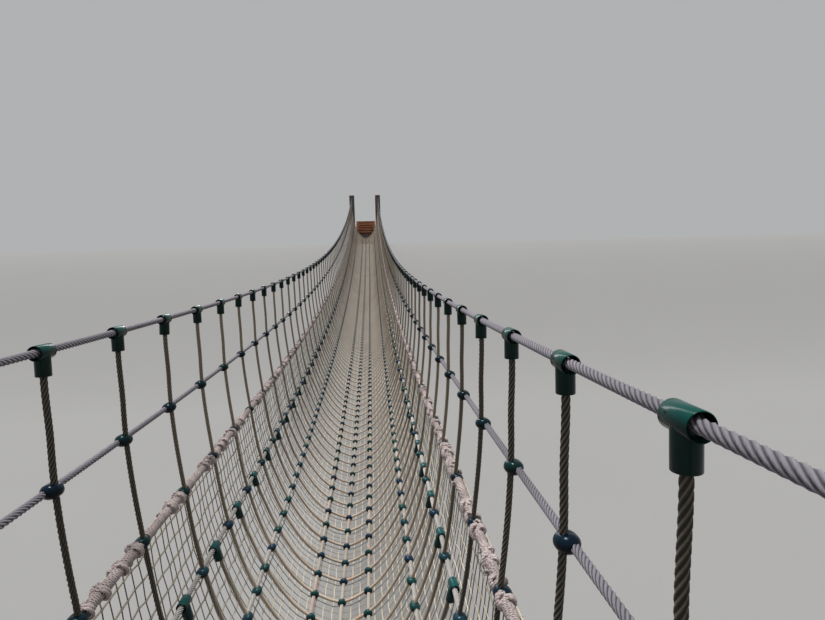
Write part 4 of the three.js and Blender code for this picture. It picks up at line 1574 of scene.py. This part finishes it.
class FOOTBRIDGE_OT_studio(bpy.types.Operator):
    """Set up the pale floor, the soft light and the photograph's camera."""

    bl_idname = "footbridge.studio"
    bl_label = "Studio"

    def execute(self, context):
        self.floor()
        self.light(context)
        self.camera(context)
        return {"FINISHED"}

    def floor(self):
        """One smooth pale sheet, low under the span and level with the gateways' feet at both ends."""
        studio = settings().studio
        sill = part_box("far_sill")[0].y - MIDSPAN_Y
        foot = sill - studio.floor_run
        slope = sill - studio.floor_run * np.linspace(1, 0, 25)[1:]
        half = np.concatenate([np.linspace(0, foot, 3), slope, FLOOR_REACH])
        ticks = np.concatenate([-half[:0:-1], half]) + MIDSPAN_Y
        near, far = FLOOR_REACH
        x, y = np.meshgrid([-far, -near, 0.0, near, far], ticks, indexing="ij")
        rise = np.clip((np.abs(y - MIDSPAN_Y) - sill) / studio.floor_run + 1, 0, 1)
        z = studio.floor_z * (1 - smooth_step(rise)) - 0.002
        shapes = Shapes()
        shapes.add(np.stack([x, y, z], axis=2), [grid_quads(*x.shape, round_columns=False)[:, TURNED_OVER]])
        mesh = shapes.mesh("studio_floor")
        finish = Finish("studio_floor_paint", roughness=0.85, specular_ior_level=0.1)
        base = studio.floor_colour
        finish.set(base_color=finish.mix(finish.noise(0.6), times(0.97, base), base))
        mesh.materials.append(finish.material)
        mesh.shade_smooth()
        floor = bpy.data.objects.new("studio_floor", mesh)
        bpy.context.scene.collection.objects.link(floor)

    def light(self, context):
        """An even surround, a soft key from above, and a tall soft box that only the plastic reflects."""
        world = bpy.data.worlds.new("studio_surround")
        world.use_nodes = True
        background = world.node_tree.nodes["Background"]
        background.inputs["Color"].default_value = SURROUND
        background.inputs["Strength"].default_value = SURROUND_STRENGTH
        context.scene.world = world
        sun = bpy.data.lights.new("soft_key", "SUN")
        sun.energy, sun.angle, sun.color = KEY_STRENGTH, KEY_SPREAD, KEY_COLOUR
        key = bpy.data.objects.new("soft_key", sun)
        key.rotation_euler = Vector(KEY_WAY).to_track_quat("Z", "Y").to_euler()
        context.scene.collection.objects.link(key)
        panel = bpy.data.lights.new("gloss_box", "AREA")
        panel.shape, panel.energy = "RECTANGLE", BOX_POWER
        panel.size, panel.size_y = BOX_SIZE
        box = bpy.data.objects.new("gloss_box", panel)
        middle = Vector((0.0, MIDSPAN_Y, MIDSPAN_Z))
        box.location = middle + Vector(BOX_AWAY)
        box.rotation_euler = (box.location - middle).to_track_quat("Z", "Y").to_euler()
        box.visible_camera = False
        plastic = bpy.data.collections.new("plastic_pieces")
        for piece in context.scene.objects:
            if piece.name.startswith(("ball_connectors", "t_fittings")):
                plastic.objects.link(piece)
        box.light_linking.receiver_collection = plastic
        context.scene.collection.objects.link(box)
        context.scene.view_settings.view_transform = "Standard"

    def camera(self, context):
        """The photograph's camera."""
        eye, right, up, back = camera_axes()
        data = bpy.data.cameras.new("photograph_camera")
        data.lens, data.sensor_width = settings().studio.focal, 36.0
        data.clip_start, data.clip_end = 0.02, 1500.0
        camera = bpy.data.objects.new("photograph_camera", data)
        turn = Matrix((right, up, back)).transposed().to_4x4()
        camera.matrix_world = Matrix.Translation(eye) @ turn
        context.scene.collection.objects.link(camera)
        context.scene.camera = camera


class FOOTBRIDGE_PT_panel(bpy.types.Panel):
    """Buttons that build the bridge piece by piece."""

    bl_label = "Rope footbridge"
    bl_idname = "FOOTBRIDGE_PT_panel"
    bl_space_type = "VIEW_3D"
    bl_region_type = "UI"
    bl_category = "Footbridge"

    def draw(self, context):
        for operator in OPERATORS:
            self.layout.operator(operator.bl_idname)


OPERATORS = (
    FOOTBRIDGE_OT_long_ropes,
    FOOTBRIDGE_OT_hoops,
    FOOTBRIDGE_OT_connectors,
    FOOTBRIDGE_OT_tees,
    FOOTBRIDGE_OT_lashings,
    FOOTBRIDGE_OT_netting,
    FOOTBRIDGE_OT_gateways,
    FOOTBRIDGE_OT_anchors,
    FOOTBRIDGE_OT_studio,
)
GROUPS = (RopeSettings, FittingSettings, NetSettings, TimberSettings, StudioSettings, FootbridgeSettings)


def register():
    """Registers the settings, the operators and the panel."""
    for made in (*GROUPS, *OPERATORS, FOOTBRIDGE_PT_panel):
        bpy.utils.register_class(made)
    bpy.types.Scene.footbridge = PointerProperty(type=FootbridgeSettings)


def unregister():
    """Takes them away again."""
    del bpy.types.Scene.footbridge
    for made in (FOOTBRIDGE_PT_panel, *reversed(OPERATORS), *reversed(GROUPS)):
        bpy.utils.unregister_class(made)


def main():
    """Builds the bridge and its studio."""
    register()
    bpy.ops.footbridge.long_ropes()
    bpy.ops.footbridge.hoops()
    bpy.ops.footbridge.connectors()
    bpy.ops.footbridge.tees()
    bpy.ops.footbridge.lashings()
    bpy.ops.footbridge.netting()
    bpy.ops.footbridge.gateways()
    bpy.ops.footbridge.anchors()
    bpy.ops.footbridge.studio()


if __name__ == "__main__":
    main()
